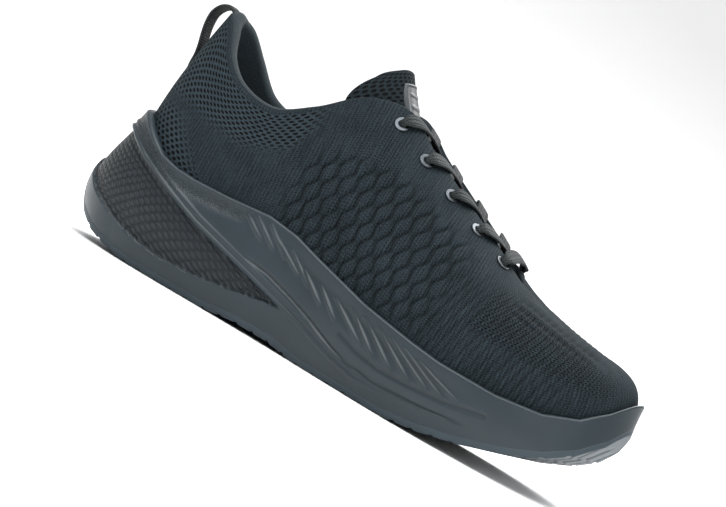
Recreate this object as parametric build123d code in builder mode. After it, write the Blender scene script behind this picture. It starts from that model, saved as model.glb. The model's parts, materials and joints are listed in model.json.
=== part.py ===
from build123d import *
from math import pi, radians, sin, sqrt, tan
import os

# Running shoe for the right foot, EU 42-43.
# Frame while modelling: X from the back of the heel to the toe, Y to the inner (medial) side, Z up.
# All sizes are in millimetres.

# ---------------------------------------------------------------- driving dimensions
SHOE_LENGTH = 300.0
KNIT_THICKNESS = 1.2
STIFFENER_THICKNESS = 0.6
LINING_THICKNESS = 0.7
LAYER_GAP = 0.2
BOARD_THICKNESS = 1.5
INSOLE_FOAM_THICKNESS = 4.0
INSOLE_COVER_THICKNESS = 0.8
OUTSOLE_THICKNESS = 3.6
TREAD_PITCH = 9.6
TREAD_DEPTH = 1.6
EYELET_OUTER_RADIUS = 4.0
EYELET_BORE_RADIUS = 2.3
EYELET_BARREL_RADIUS = 2.65
EYELET_FLANGE = 0.8
EYELET_FROM_EDGE = 9.5
WASHER_THICKNESS = 0.6
COLLAR_FOAM = 5.0
CUP_CLEARANCE = 1.3
TREAD_FROM = 9.0
LUG_COUNT = 29
NOTCH_WIDTH = 2.6
COLLAR_SPAN = (0.52, 0.985)
HALF_WIDTH = 70.0
ABOVE_SHOE = 170.0
INSOLE_MARGIN = 1.0
EYELET_SEAT = 0.3
EYELET_LENGTH = 3.8
LOOP_THICKNESS = 2.2
LOOP_WIDTH = 12.0
EYESTAY_SECTIONS = range(7, 14)
EYESTAY_SPAN = (0.66, 0.985)
COUNTER_SPAN = (0.02, 0.48)
TOE_PUFF_SPAN = (0.02, 0.45)
KNIT_SPAN = (0.012, 1.0)
LOOP_SEWN_SPAN = (0.60, 0.68)
PIERCED_LAYERS = ("upper_knit", "upper_lining")

KNIT_DEPTH = (0.0, KNIT_THICKNESS)
STIFFENER_DEPTH = (KNIT_DEPTH[1] + LAYER_GAP, KNIT_DEPTH[1] + LAYER_GAP + STIFFENER_THICKNESS)
LINING_DEPTH = STIFFENER_DEPTH[1] + LAYER_GAP
INSIDE_DEPTH = LINING_DEPTH + LINING_THICKNESS
WASHER_DEPTH = INSIDE_DEPTH - 0.1

# The shoe's own origin is on the ground, under the middle of its length and width.
ORIGIN_SHIFT = (-SHOE_LENGTH / 2, 0.4, 0.0)

# ---------------------------------------------------------------- the wall of the upper
# Each row is one upright section through the wall: the foot of the wall (x, y) on the sole, its top edge
# (x, y, z), and two control points (reach inwards, height) of the curve that joins them.
HEEL_SECTION = ((12.5, 0.0), (20.0, 0.0, 133.0), (-3.5, 75.0), (2.0, 105.0))
TOE_SECTION = ((297.5, 9.0), (219.5, 3.0, 86.8), (-3.0, 90.0), (25.0, 67.0))
LATERAL_SECTIONS = [
    ((15.5, -14.0), (22.5, -8.5, 131.5), (-3.0, 75.0), (2.5, 104.0)),
    ((24.5, -25.5), (29.0, -15.5, 125.0), (-3.0, 74.0), (4.0, 100.0)),
    ((39.0, -33.0), (39.0, -22.5, 112.0), (-3.0, 72.0), (5.0, 92.0)),
    ((57.0, -36.0), (54.0, -27.5, 102.5), (-3.0, 66.0), (4.0, 84.0)),
    ((78.0, -36.3), (74.0, -29.5, 100.5), (-3.0, 64.0), (2.5, 82.0)),
    ((98.0, -36.3), (92.0, -28.5, 111.5), (-3.5, 66.0), (2.0, 90.0)),
    ((117.0, -37.3), (111.0, -24.5, 128.0), (-4.0, 70.0), (4.0, 105.0)),
    ((138.0, -39.3), (132.0, -16.0, 133.3), (-5.0, 74.0), (9.0, 118.0)),
    ((157.0, -42.8), (152.0, -13.8, 122.0), (-6.0, 70.0), (10.0, 111.0)),
    ((177.0, -46.6), (171.5, -12.6, 112.3), (-6.0, 64.0), (12.0, 102.0)),
    ((198.0, -49.5), (190.5, -11.2, 103.0), (-6.0, 60.0), (13.0, 94.0)),
    ((220.0, -49.3), (207.5, -8.6, 94.3), (-6.0, 57.0), (13.0, 86.0)),
    ((246.0, -42.5), (215.5, -4.8, 89.4), (-5.0, 60.0), (14.0, 80.0)),
    ((269.0, -31.5), (218.2, -1.6, 87.6), (-4.0, 68.0), (18.0, 76.0)),
    ((287.5, -15.5), (219.2, 0.8, 87.0), (-3.5, 80.0), (22.0, 70.0)),
]
MEDIAL_SECTIONS = [
    ((15.5, 14.0), (22.5, 8.5, 131.5), (-3.0, 75.0), (2.5, 104.0)),
    ((24.5, 25.5), (29.5, 15.5, 128.0), (-3.0, 74.0), (4.0, 100.0)),
    ((39.0, 32.5), (40.0, 22.5, 117.0), (-3.0, 72.0), (5.0, 94.0)),
    ((57.0, 34.5), (55.0, 27.0, 103.5), (-3.0, 66.0), (4.0, 84.0)),
    ((78.0, 33.5), (75.0, 28.5, 101.0), (-3.0, 64.0), (2.5, 82.0)),
    ((98.0, 31.5), (92.0, 27.0, 111.5), (-3.5, 66.0), (2.0, 90.0)),
    ((117.0, 31.0), (111.0, 23.5, 128.0), (-4.0, 70.0), (3.0, 105.0)),
    ((138.0, 33.0), (132.0, 16.0, 133.3), (-5.0, 74.0), (6.0, 116.0)),
    ((157.0, 36.5), (152.0, 14.2, 122.0), (-5.5, 70.0), (8.0, 110.0)),
    ((177.0, 40.5), (171.5, 13.4, 112.3), (-6.0, 64.0), (10.0, 101.0)),
    ((198.0, 45.0), (190.5, 12.6, 103.0), (-6.0, 60.0), (12.0, 93.0)),
    ((220.0, 48.3), (207.5, 11.2, 94.3), (-6.0, 58.0), (13.0, 86.0)),
    ((246.0, 48.5), (215.5, 8.6, 89.4), (-5.0, 60.0), (14.0, 80.0)),
    ((268.0, 42.5), (218.2, 6.8, 87.6), (-4.0, 68.0), (18.0, 76.0)),
    ((289.5, 29.0), (219.2, 4.8, 87.0), (-3.5, 80.0), (22.0, 70.0)),
]
LATERAL_WALL = [HEEL_SECTION] + LATERAL_SECTIONS + [TOE_SECTION]
MEDIAL_WALL = [HEEL_SECTION] + MEDIAL_SECTIONS + [TOE_SECTION]
WALLS = (LATERAL_WALL, MEDIAL_WALL)
EYELET_SECTIONS = range(8, 13)      # the wall sections that carry the five eyelets of a row
COLLAR_SECTIONS = range(0, 7)       # the wall sections with padding behind the knit

# ---------------------------------------------------------------- side profiles (x, z)
FOOTBED_LINE = [
    (-10.0, 42.0), (12.0, 41.0), (60.0, 39.0), (100.0, 37.0), (140.0, 33.5),
    (180.0, 29.0), (215.0, 27.0), (240.0, 28.0), (265.0, 32.0), (285.0, 38.0), (310.0, 48.0),
]
RIM_LINE = [
    (-6.0, 68.0), (8.0, 71.0), (12.5, 70.0), (17.0, 67.5), (24.6, 62.7), (37.5, 55.4), (49.0, 53.0),
    (60.0, 52.5), (80.0, 53.3), (103.0, 55.4), (120.0, 53.5), (137.0, 49.0), (169.0, 41.8),
    (200.0, 37.6), (216.0, 36.0), (246.0, 35.5), (268.0, 38.0), (283.0, 44.0), (292.0, 53.0), (298.0, 62.0),
    (304.0, 68.0),
]
SOLE_LINE = [
    (-4.0, 48.0), (-1.5, 38.0), (1.0, 26.0), (8.0, 12.0), (19.0, 5.5), (34.0, 1.6), (48.0, 0.0),
    (92.0, 0.0), (112.0, 2.4), (132.0, 2.4), (150.0, 0.0), (205.0, 0.0), (228.0, 2.6), (250.0, 6.6),
    (270.0, 12.6), (284.0, 21.0), (294.0, 32.0), (300.0, 45.0), (303.0, 60.0),
]
# Outward flare of the sole beyond the foot of the wall, at each height z, along x.
FLARE_X = [12.0, 35.0, 60.0, 130.0, 200.0, 260.0, 297.0]
FLARE = [
    (-2.0, [-3.0, -3.0, -2.0, -2.0, -2.0, -3.0, -6.0]),
    (16.0, [12.0, 7.0, 6.5, 4.5, 5.0, 5.0, 3.5]),
    (40.0, [13.5, 7.5, 6.0, 4.5, 4.0, 4.0, 4.0]),
    (74.0, [4.0, 3.5, 3.0, 3.0, 3.0, 3.0, 3.0]),
]


def between(xs, ys, x):
    """Straight-line value of ys at x."""
    if x <= xs[0]:
        return ys[0]
    for left, right, low, high in zip(xs, xs[1:], ys, ys[1:]):
        if x <= right:
            return low + (high - low) * (x - left) / (right - left)
    return ys[-1]


def line_height(line, x):
    """Height of a side profile at x."""
    return between([point[0] for point in line], [point[1] for point in line], x)


def section_plane(section):
    """Upright plane of a wall section: its x runs inwards from the foot of the wall, its y is height."""
    foot, top = section[0], section[1]
    inward = Vector(top[0] - foot[0], top[1] - foot[1], 0).normalized()
    return Plane(origin=(foot[0], foot[1], 0), x_dir=inward, z_dir=inward.cross(Vector(0, 0, 1)))


def section_point(section, along, depth):
    """Point (reach, height) of a section's curve, 0 at the foot and 1 at the top, sunk inwards by depth."""
    foot, top, low, high = section
    reach = sqrt((top[0] - foot[0]) ** 2 + (top[1] - foot[1]) ** 2)
    controls = [(0.0, line_height(FOOTBED_LINE, foot[0])), low, high, (reach, top[2])]
    rest = 1 - along
    weights = (rest**3, 3 * rest**2 * along, 3 * rest * along**2, along**3)
    h = sum(w * c[0] for w, c in zip(weights, controls))
    z = sum(w * c[1] for w, c in zip(weights, controls))
    slopes = (rest**2, 2 * rest * along, along**2)
    dh = sum(s * (b[0] - a[0]) for s, a, b in zip(slopes, controls, controls[1:]))
    dz = sum(s * (b[1] - a[1]) for s, a, b in zip(slopes, controls, controls[1:]))
    size = sqrt(dh * dh + dz * dz)
    return (h + depth * dz / size, z - depth * dh / size)


def wall_point(section, along, depth=0.0):
    """Point in space of a wall section."""
    return section_plane(section).from_local_coords(Vector(*section_point(section, along, depth)))


def wall_face(section, start, end, outer, inner, steps=14):
    """Closed section of one layer of the wall; outer and inner give its depth at a place along the curve."""
    places = [start + (end - start) * i / steps for i in range(steps + 1)]
    with BuildSketch(section_plane(section)) as sketch:
        with BuildLine():
            front = Spline(*[section_point(section, place, outer(place)) for place in places])
            back = Spline(*[section_point(section, place, inner(place)) for place in reversed(places)])
            Line(front @ 1, back @ 0)
            Line(back @ 1, front @ 0)
        make_face()
    return sketch.sketch.face()


def foot_outline(offset):
    """Points round the foot of the wall, moved outwards by offset(x)."""
    ring = LATERAL_WALL[:-1] + list(reversed(MEDIAL_WALL))[:-1]
    feet = [Vector(section[0][0], section[0][1], 0) for section in ring]
    points = []
    for before, here, after in zip(feet[-1:] + feet[:-1], feet, feet[1:] + feet[:1]):
        along = (after - before).normalized()
        outward = along.cross(Vector(0, 0, 1))
        points.append(here + outward * offset(here.X))
    return points


def plan_face(height, offset, smooth=True):
    """Plan outline of the foot at a height, moved outwards by offset(x)."""
    with BuildSketch(Plane.XY.offset(height)) as plan:
        with BuildLine():
            if smooth:
                Spline(*foot_outline(offset), periodic=True)
            else:
                Polyline(*foot_outline(offset), close=True)
        make_face()
    return plan.sketch.face()


def side_face(lower, upper):
    """Side profile between a lower and an upper line."""
    with BuildSketch(Plane.XZ) as band:
        with BuildLine():
            bottom = Spline(*lower)
            top = Spline(*reversed(upper))
            Line(bottom @ 1, top @ 0)
            Line(top @ 1, bottom @ 0)
        make_face()
    return band.sketch.face()


def raised(line, height):
    """A side profile moved up by height."""
    return [(x, z + height) for x, z in line]


def write(piece, name):
    """Move a finished piece to the shoe's own origin, label it and write its STEP file."""
    piece.part = piece.part.moved(Location(ORIGIN_SHIFT))
    piece.part.label = name
    export_step(piece.part, f"parts/{name}.step")


def sole_plans():
    """Plan outlines of the flared sole, from below the ground to above the rim."""
    return [plan_face(height, lambda x: between(FLARE_X, flare, x)) for height, flare in FLARE]


def bonded_slab(margin, low, high):
    """Plan and side faces of a thin layer that lies on the footbed, margin in from the foot of the wall."""
    plan = plan_face(0, lambda x: -margin, smooth=False)
    return plan, side_face(raised(FOOTBED_LINE, low), raised(FOOTBED_LINE, high))


def collar_pad(index, along):
    """Extra depth of the lining over the collar foam."""
    start, end = COLLAR_SPAN
    fade = {5: 0.8, 6: 0.5}.get(index, 1.0 if index in COLLAR_SECTIONS else 0.0)
    if not start < along < end:
        return 0.0
    return COLLAR_FOAM * fade * sin(pi * (along - start) / (end - start))


def wall_halves(indices, start, end, outer, inner):
    """Sections of one layer for the lateral and for the medial half; depths take (index, along)."""
    return [
        [
            wall_face(wall[i], start, end, lambda along: outer(i, along), lambda along: inner(i, along))
            for i in indices
        ]
        for wall in WALLS
    ]


def even(depth):
    """A depth that is the same everywhere."""
    return lambda index, along: depth


os.makedirs("parts", exist_ok=True)

# ---------------------------------------------------------------- sole
with BuildPart() as foot_space:
    extrude(plan_face(0, lambda x: CUP_CLEARANCE), amount=ABOVE_SHOE)
    roof = [(FOOTBED_LINE[0][0], ABOVE_SHOE), (FOOTBED_LINE[-1][0], ABOVE_SHOE)]
    extrude(side_face(FOOTBED_LINE, roof), amount=HALF_WIDTH, both=True, mode=Mode.INTERSECT)

with BuildPart() as midsole:
    loft(sole_plans())
    midsole_profile = side_face(raised(SOLE_LINE, OUTSOLE_THICKNESS + LAYER_GAP), RIM_LINE)
    extrude(midsole_profile, amount=HALF_WIDTH, both=True, mode=Mode.INTERSECT)
    add(foot_space.part, mode=Mode.SUBTRACT)
write(midsole, "midsole")

# The tread is a row of flat lugs with a notch between each pair.
tread_line = [point for point in SOLE_LINE if point[0] < TREAD_FROM]
for tooth in range(LUG_COUNT):
    lug_start = TREAD_FROM + tooth * TREAD_PITCH
    lug_end = lug_start + TREAD_PITCH - NOTCH_WIDTH
    notch_middle = lug_end + NOTCH_WIDTH / 2
    tread_line.append((lug_start, line_height(SOLE_LINE, lug_start)))
    tread_line.append((lug_end, line_height(SOLE_LINE, lug_end)))
    tread_line.append((notch_middle, line_height(SOLE_LINE, notch_middle) + TREAD_DEPTH))
tread_line += [point for point in SOLE_LINE if point[0] > notch_middle]

with BuildPart() as outsole:
    loft(sole_plans())
    with BuildSketch(Plane.XZ) as tread_profile:
        with BuildLine():
            tread_edge = Polyline(*tread_line)
            tread_top = Spline(*reversed(raised(SOLE_LINE, OUTSOLE_THICKNESS)))
            Line(tread_edge @ 1, tread_top @ 0)
            Line(tread_top @ 1, tread_edge @ 0)
        make_face()
    extrude(amount=HALF_WIDTH, both=True, mode=Mode.INTERSECT)
write(outsole, "outsole")

board_top = LAYER_GAP + BOARD_THICKNESS
foam_top = board_top + LAYER_GAP + INSOLE_FOAM_THICKNESS
cover_top = foam_top + LAYER_GAP / 2 + INSOLE_COVER_THICKNESS
footbed_layers = {
    "strobel_board": (LAYER_GAP, board_top),
    "insole_foam": (board_top + LAYER_GAP, foam_top),
    "insole_cover": (foam_top + LAYER_GAP / 2, cover_top),
}
for layer_name, (layer_low, layer_high) in footbed_layers.items():
    with BuildPart() as footbed_layer:
        layer_plan, layer_profile = bonded_slab(INSIDE_DEPTH + INSOLE_MARGIN, layer_low, layer_high)
        extrude(layer_plan, amount=ABOVE_SHOE)
        extrude(layer_profile, amount=HALF_WIDTH, both=True, mode=Mode.INTERSECT)
    write(footbed_layer, layer_name)

# ---------------------------------------------------------------- upper
wall_layers = {
    "upper_knit": (range(17), *KNIT_SPAN, even(KNIT_DEPTH[0]), even(KNIT_DEPTH[1])),
    "upper_lining": (
        range(17), KNIT_SPAN[0], COLLAR_SPAN[1],
        lambda index, along: LINING_DEPTH + collar_pad(index, along),
        lambda index, along: INSIDE_DEPTH + collar_pad(index, along),
    ),
    "heel_counter": (range(5), *COUNTER_SPAN, even(STIFFENER_DEPTH[0]), even(STIFFENER_DEPTH[1])),
    "collar_foam": (
        COLLAR_SECTIONS, COLLAR_SPAN[0], COLLAR_SPAN[1] - 0.01, even(STIFFENER_DEPTH[0]),
        lambda index, along: STIFFENER_DEPTH[1] + collar_pad(index, along),
    ),
    "toe_puff": (range(13, 17), *TOE_PUFF_SPAN, even(STIFFENER_DEPTH[0]), even(STIFFENER_DEPTH[1])),
}


def edge_place(section, distance):
    """Place along a section's curve that lies a distance below its top edge."""
    place = 1.0
    point = wall_point(section, place)
    while (wall_point(section, place) - point).length < distance:
        place -= 0.002
    return place


def eyelet_plane(wall, index):
    """Plane of one eyelet: on the knit's outer face, z outwards, x towards the throat."""
    place = edge_place(wall[index], EYELET_FROM_EDGE)
    origin = wall_point(wall[index], place)
    upwards = (wall_point(wall[index], place + 0.02) - origin).normalized()
    onwards = wall_point(wall[index + 1], place) - wall_point(wall[index - 1], place)
    outwards = upwards.cross(onwards).normalized()
    if outwards.Z < 0:
        outwards = -outwards
    return Plane(origin=origin, x_dir=upwards, z_dir=outwards)


EYELET_ROWS = {
    "lateral": [eyelet_plane(LATERAL_WALL, index) for index in EYELET_SECTIONS],
    "medial": [eyelet_plane(MEDIAL_WALL, index) for index in EYELET_SECTIONS],
}
ALL_EYELETS = EYELET_ROWS["lateral"] + EYELET_ROWS["medial"]
ON_TOP = (Align.CENTER, Align.CENTER, Align.MIN)
HANGING = (Align.CENTER, Align.CENTER, Align.MAX)

# Everything an eyelet and its washer take out of the wall's layers.
with BuildPart() as eyelet_space:
    with Locations(*[plane.offset(-EYELET_SEAT) for plane in ALL_EYELETS]):
        Cylinder(EYELET_OUTER_RADIUS + LAYER_GAP, 4 * EYELET_FLANGE, align=ON_TOP)
    with Locations(*[plane for plane in ALL_EYELETS]):
        Cylinder(EYELET_BARREL_RADIUS + LAYER_GAP, 2 * INSIDE_DEPTH, align=HANGING)
    with Locations(*[plane.offset(-WASHER_DEPTH) for plane in ALL_EYELETS]):
        Cylinder(EYELET_OUTER_RADIUS + LAYER_GAP, INSIDE_DEPTH, align=HANGING)

for layer_name, layer in wall_layers.items():
    lateral_half, medial_half = wall_halves(*layer)
    with BuildPart() as wall_layer:
        loft(lateral_half, ruled=True)
        loft(medial_half, ruled=True)
        if layer_name in PIERCED_LAYERS:
            add(eyelet_space.part, mode=Mode.SUBTRACT)
    write(wall_layer, layer_name)

for side, wall in (("lateral", LATERAL_WALL), ("medial", MEDIAL_WALL)):
    with BuildPart() as eyestay:
        eyestay_faces = [
            wall_face(
                wall[index], *EYESTAY_SPAN, lambda along: STIFFENER_DEPTH[0], lambda along: STIFFENER_DEPTH[1]
            )
            for index in EYESTAY_SECTIONS
        ]
        loft(eyestay_faces, ruled=True)
        add(eyelet_space.part, mode=Mode.SUBTRACT)
    write(eyestay, f"eyestay_{side}")

    with BuildPart() as eyelets:
        with Locations(*[plane.offset(LAYER_GAP - EYELET_SEAT) for plane in EYELET_ROWS[side]]):
            Cylinder(EYELET_OUTER_RADIUS, EYELET_FLANGE, align=ON_TOP)
            Cylinder(EYELET_BARREL_RADIUS, EYELET_LENGTH, align=HANGING)
            Cylinder(EYELET_BORE_RADIUS, 4 * EYELET_LENGTH, mode=Mode.SUBTRACT)
        top_rims = eyelets.edges().filter_by(GeomType.CIRCLE)
        outer_rims = top_rims.filter_by(lambda edge: abs(edge.radius - EYELET_OUTER_RADIUS) < 0.01)
        fillet(outer_rims, EYELET_FLANGE * 0.4)
    write(eyelets, f"eyelets_{side}")

    with BuildPart() as washers:
        with Locations(*[plane.offset(-WASHER_DEPTH - LAYER_GAP) for plane in EYELET_ROWS[side]]):
            Cylinder(EYELET_OUTER_RADIUS, WASHER_THICKNESS, align=HANGING)
            Cylinder(EYELET_BARREL_RADIUS + 0.05, 4 * WASHER_THICKNESS, mode=Mode.SUBTRACT)
    write(washers, f"eyelet_washers_{side}")

# ---------------------------------------------------------------- heel pull loop
loop_seat = -LOOP_THICKNESS / 2 - LAYER_GAP
sewn_places = [section_point(HEEL_SECTION, along, loop_seat) for along in LOOP_SEWN_SPAN]
LOOP_ROUTE = [
    *[(HEEL_SECTION[0][0] + reach, height) for reach, height in sewn_places],
    (10.9, 120.5), (11.6, 129.0), (15.2, 134.6), (19.2, 135.2), (22.0, 134.5),
]
with BuildPart() as heel_loop:
    with BuildSketch(Plane.XZ):
        with BuildLine():
            loop_line = Spline(*LOOP_ROUTE, mode=Mode.PRIVATE)
            places = [i / 12 for i in range(13)]
            across = [(loop_line % place).rotate(Axis.Z, 90) * (LOOP_THICKNESS / 2) for place in places]
            loop_back = Spline(*[loop_line @ place + side for place, side in zip(places, across)])
            loop_front = Spline(*[loop_line @ place - side for place, side in zip(places[::-1], across[::-1])])
            Line(loop_back @ 1, loop_front @ 0)
            Line(loop_front @ 1, loop_back @ 0)
        make_face()
    extrude(amount=LOOP_WIDTH / 2, both=True)
write(heel_loop, "heel_loop")

# ---------------------------------------------------------------- tongue
# Each rib crosses the tongue: centre (x, y, z), half width, fall of its wings, foam thickness.
TONGUE_RIBS = [
    (219.0, 3.0, 79.5, 12.0, 2.5, 1.5),
    (207.0, 1.3, 85.0, 14.0, 5.0, 1.8),
    (190.0, 0.7, 94.5, 17.0, 9.0, 2.4),
    (171.0, 0.4, 104.5, 19.0, 13.0, 2.8),
    (152.0, 0.2, 116.5, 20.0, 19.0, 3.2),
    (137.0, 0.0, 127.5, 19.0, 24.0, 4.2),
    (126.0, 0.0, 140.5, 18.5, 25.0, 5.0),
    (120.0, 0.0, 149.0, 16.0, 18.0, 5.0),
    (118.0, 0.0, 152.0, 11.0, 9.0, 3.0),
]


def tongue_rib(place):
    """Rib values at a place along the tongue, in ribs from its sewn base."""
    low = min(int(place), len(TONGUE_RIBS) - 2)
    share = place - low
    return [a + (b - a) * share for a, b in zip(TONGUE_RIBS[low], TONGUE_RIBS[low + 1])]


def tongue_face_section(place, reach, outer, inner):
    """Closed cross-section of one layer of the tongue over a share of its half width."""
    x, y, z, half_width, fall, foam = tongue_rib(place)
    before = tongue_rib(max(place - 0.5, 0))
    after = tongue_rib(min(place + 0.5, len(TONGUE_RIBS) - 1))
    along = Vector(after[0] - before[0], 0, after[2] - before[2]).normalized()
    plane = Plane(origin=(x, y, z), x_dir=(0, 1, 0), z_dir=along)
    shares = [reach * (i / 6 - 1) for i in range(13)]
    upward = 1 if plane.y_dir.Z > 0 else -1
    arch = [(share * half_width, -fall * (0.35 * share**2 + 0.65 * share**4)) for share in shares]
    with BuildSketch(plane) as section:
        with BuildLine():
            front = Spline(*[(reach_y, upward * (drop - outer(foam))) for reach_y, drop in arch])
            back = Spline(*[(reach_y, upward * (drop - inner(foam))) for reach_y, drop in reversed(arch)])
            Line(front @ 1, back @ 0)
            Line(back @ 1, front @ 0)
        make_face()
    return section.sketch.face()


FACE_THICKNESS = 0.8
TONGUE_LINING = 0.6
TONGUE_LAYER_GAP = 0.3
LABEL_RIBS = (5.15, 5.6, 6.0, 6.5, 7.0)
LABEL_REACH = 0.36
LABEL_THICKNESS = 1.3
foam_from = FACE_THICKNESS + TONGUE_LAYER_GAP
all_ribs = [float(i) for i in range(len(TONGUE_RIBS))]
tongue_layers = {
    "tongue_face": (all_ribs, 1.0, lambda foam: 0.0, lambda foam: FACE_THICKNESS),
    "tongue_foam": (all_ribs, 0.97, lambda foam: foam_from, lambda foam: foam_from + foam),
    "tongue_lining": (
        all_ribs, 1.0, lambda foam: foam_from + foam + TONGUE_LAYER_GAP,
        lambda foam: foam_from + foam + TONGUE_LAYER_GAP + TONGUE_LINING,
    ),
    "tongue_label": (LABEL_RIBS, LABEL_REACH, lambda foam: -LABEL_THICKNESS, lambda foam: -0.1),
}
for layer_name, (places, reach, outer_depth, inner_depth) in tongue_layers.items():
    with BuildPart() as tongue_layer:
        loft([tongue_face_section(place, reach, outer_depth, inner_depth) for place in places], ruled=True)
    write(tongue_layer, layer_name)

# ---------------------------------------------------------------- lace
# Over-lacing: each strand comes out from under one flap, crosses the tongue and goes down through the next
# eyelet of the other flap. The route runs from the medial tip to the lateral tip.
LACE_DIAMETER = 2.2
LACE_TIP_DIAMETER = 3.4
LACE_TIP_LENGTH = 20.0
LACE_ROUTE = [
    # from the medial tip, along the insole and up the inside of the wall
    (204.0, 36.6, 36.8), (191.0, 35.0, 37.2), (176.5, 32.2, 38.4), (161.5, 30.6, 40.2), (148.0, 29.2, 44.5),
    (138.5, 28.0, 55.5), (133.6, 27.0, 70.0), (133.0, 25.4, 85.0), (133.2, 23.2, 100.0), (132.4, 20.8, 112.6),
    # medial eyelet 1, lateral eyelet 2
    (132.7, 15.3, 122.3), (134.1, 23.8, 126.5), (139.2, 17.4, 131.2), (144.5, 3.0, 124.2), (150.2, -9.3, 118.2),
    (151.2, -17.2, 111.8), (154.6, -23.6, 118.6), (159.6, -15.2, 120.2), (164.5, -1.5, 116.4),
    # medial eyelet 3, lateral eyelet 4, medial eyelet 5
    (169.7, 9.7, 109.2), (171.1, 16.5, 102.0), (174.0, 22.9, 108.6), (180.1, 14.6, 110.2), (184.5, 1.5, 102.6),
    (188.1, -8.8, 99.0), (189.8, -17.3, 94.0), (193.7, -21.3, 102.0), (198.8, -11.2, 101.3), (203.0, 1.5, 97.6),
    (205.4, 9.8, 89.5), (208.0, 17.5, 85.4), (211.7, 20.9, 93.8),
    # the straight bar over the front of the throat
    (211.0, 8.5, 97.0), (210.6, -5.0, 96.8), (211.8, -18.2, 94.2),
    # lateral eyelet 5, medial eyelet 4, lateral eyelet 3
    (207.6, -15.6, 85.8), (205.2, -7.8, 89.4), (202.0, 3.0, 93.4), (198.3, 13.4, 101.3), (193.6, 22.5, 100.9),
    (190.3, 17.3, 93.3), (188.5, 9.5, 99.3), (184.0, -1.5, 105.9), (180.3, -13.2, 110.2), (174.2, -22.6, 110.1),
    (170.6, -17.4, 102.6), (169.3, -9.6, 108.7), (163.5, 2.5, 112.9),
    # medial eyelet 2, lateral eyelet 1
    (159.6, 15.5, 120.0), (154.5, 23.4, 117.2), (151.7, 15.9, 111.4), (150.5, 10.4, 119.0), (145.0, -2.5, 127.4),
    (139.6, -16.9, 131.6), (134.2, -24.8, 128.0), (132.6, -16.9, 122.6),
    # down the inside of the wall and along the insole to the lateral tip
    (132.2, -22.6, 112.8), (133.2, -26.6, 100.5), (133.8, -30.2, 86.0), (133.6, -32.6, 71.0), (138.0, -33.0, 56.0),
    (147.5, -33.6, 45.0), (161.0, -35.4, 40.2), (176.0, -38.0, 38.4), (190.5, -40.2, 37.2), (203.5, -41.4, 36.8),
]


def bend_radii(route):
    """Largest tangent arc at each corner: 0.45 of the shorter run over the tangent of half the turn."""
    radii = []
    for before, here, after in zip(route, route[1:], route[2:]):
        arriving = Vector(*here) - Vector(*before)
        leaving = Vector(*after) - Vector(*here)
        half_turn = radians(arriving.get_angle(leaving)) / 2
        radii.append(0.45 * min(arriving.length, leaving.length) / tan(half_turn))
    return radii


lace_radii = bend_radii(LACE_ROUTE)
print("lace bend radii:", [round(radius, 1) for radius in lace_radii])
with BuildPart() as lace:
    with BuildLine() as lace_path:
        FilletPolyline(*LACE_ROUTE, radius=lace_radii)
    with BuildSketch(Plane(origin=lace_path.wires()[0] @ 0, z_dir=lace_path.wires()[0] % 0)):
        Circle(LACE_DIAMETER / 2)
    sweep()
write(lace, "lace")
lace_length = lace_path.wires()[0].length
print("lace length:", round(lace_length, 1), "volume share:",
      round(lace.part.volume / (lace_length * pi * LACE_DIAMETER**2 / 4), 3))

lace_ends = [(LACE_ROUTE[1], LACE_ROUTE[0]), (LACE_ROUTE[-2], LACE_ROUTE[-1])]
with BuildPart() as lace_tips:
    for before, last in lace_ends:
        with BuildSketch(Plane(origin=last, z_dir=Vector(*last) - Vector(*before))):
            Circle(LACE_TIP_DIAMETER / 2)
        extrude(amount=LACE_TIP_LENGTH)
write(lace_tips, "lace_tips")
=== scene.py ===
import json
import logging
import math
from dataclasses import dataclass, field
from enum import Enum
from typing import Callable, Sequence

import bpy
import numpy as np
from mathutils import Matrix, Vector


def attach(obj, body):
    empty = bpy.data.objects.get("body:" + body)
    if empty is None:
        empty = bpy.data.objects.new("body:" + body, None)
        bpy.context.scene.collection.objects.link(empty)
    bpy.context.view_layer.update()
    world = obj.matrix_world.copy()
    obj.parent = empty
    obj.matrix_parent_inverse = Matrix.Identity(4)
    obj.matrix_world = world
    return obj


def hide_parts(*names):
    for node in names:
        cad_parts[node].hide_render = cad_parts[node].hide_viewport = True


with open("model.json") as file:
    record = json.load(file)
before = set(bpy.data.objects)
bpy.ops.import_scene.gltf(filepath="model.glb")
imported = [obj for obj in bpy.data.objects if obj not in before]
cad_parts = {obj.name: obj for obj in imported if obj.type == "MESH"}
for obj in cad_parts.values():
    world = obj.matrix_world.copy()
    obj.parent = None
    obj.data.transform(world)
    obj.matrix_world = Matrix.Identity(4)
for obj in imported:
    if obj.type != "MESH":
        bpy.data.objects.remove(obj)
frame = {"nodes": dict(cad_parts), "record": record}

logging.basicConfig(level=logging.INFO, format="%(message)s")
log = logging.getLogger("running_shoe")

MM = 0.001
WEAVE_MAP = "Weave"
FULL_TURN = 2 * math.pi
# The drawing frame runs from the back of the heel; the shoe's own origin is under its middle.
DRAWING_ORIGIN = np.array([-150.0, 0.4, 0.0])
SHOE = "shoe"
TONGUE = "tongue"
Line = Sequence[tuple[float, float]]
Point = tuple[float, float, float]
Colour = tuple[float, float, float, float]


class Zone(Enum):
    """Painted zones that a finish reads, by the name of their attribute."""

    OPEN_MESH = "mesh"
    PERFORATED = "dots"
    # Painted shade in the knit's cord grooves and in the troughs of its wales and ribs.
    SHADED_KNIT = "painted_shade"
    STUDDED = "panel"
    GRAINED = "leather"
    SATIN = "satin"
    # Painted shade in the sole's crease, hollows, fin floor and under its ridge.
    SHADED_FOAM = "shade"


# ---------------------------------------------------------------------------------------------
# Shader helpers
# ---------------------------------------------------------------------------------------------


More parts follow.
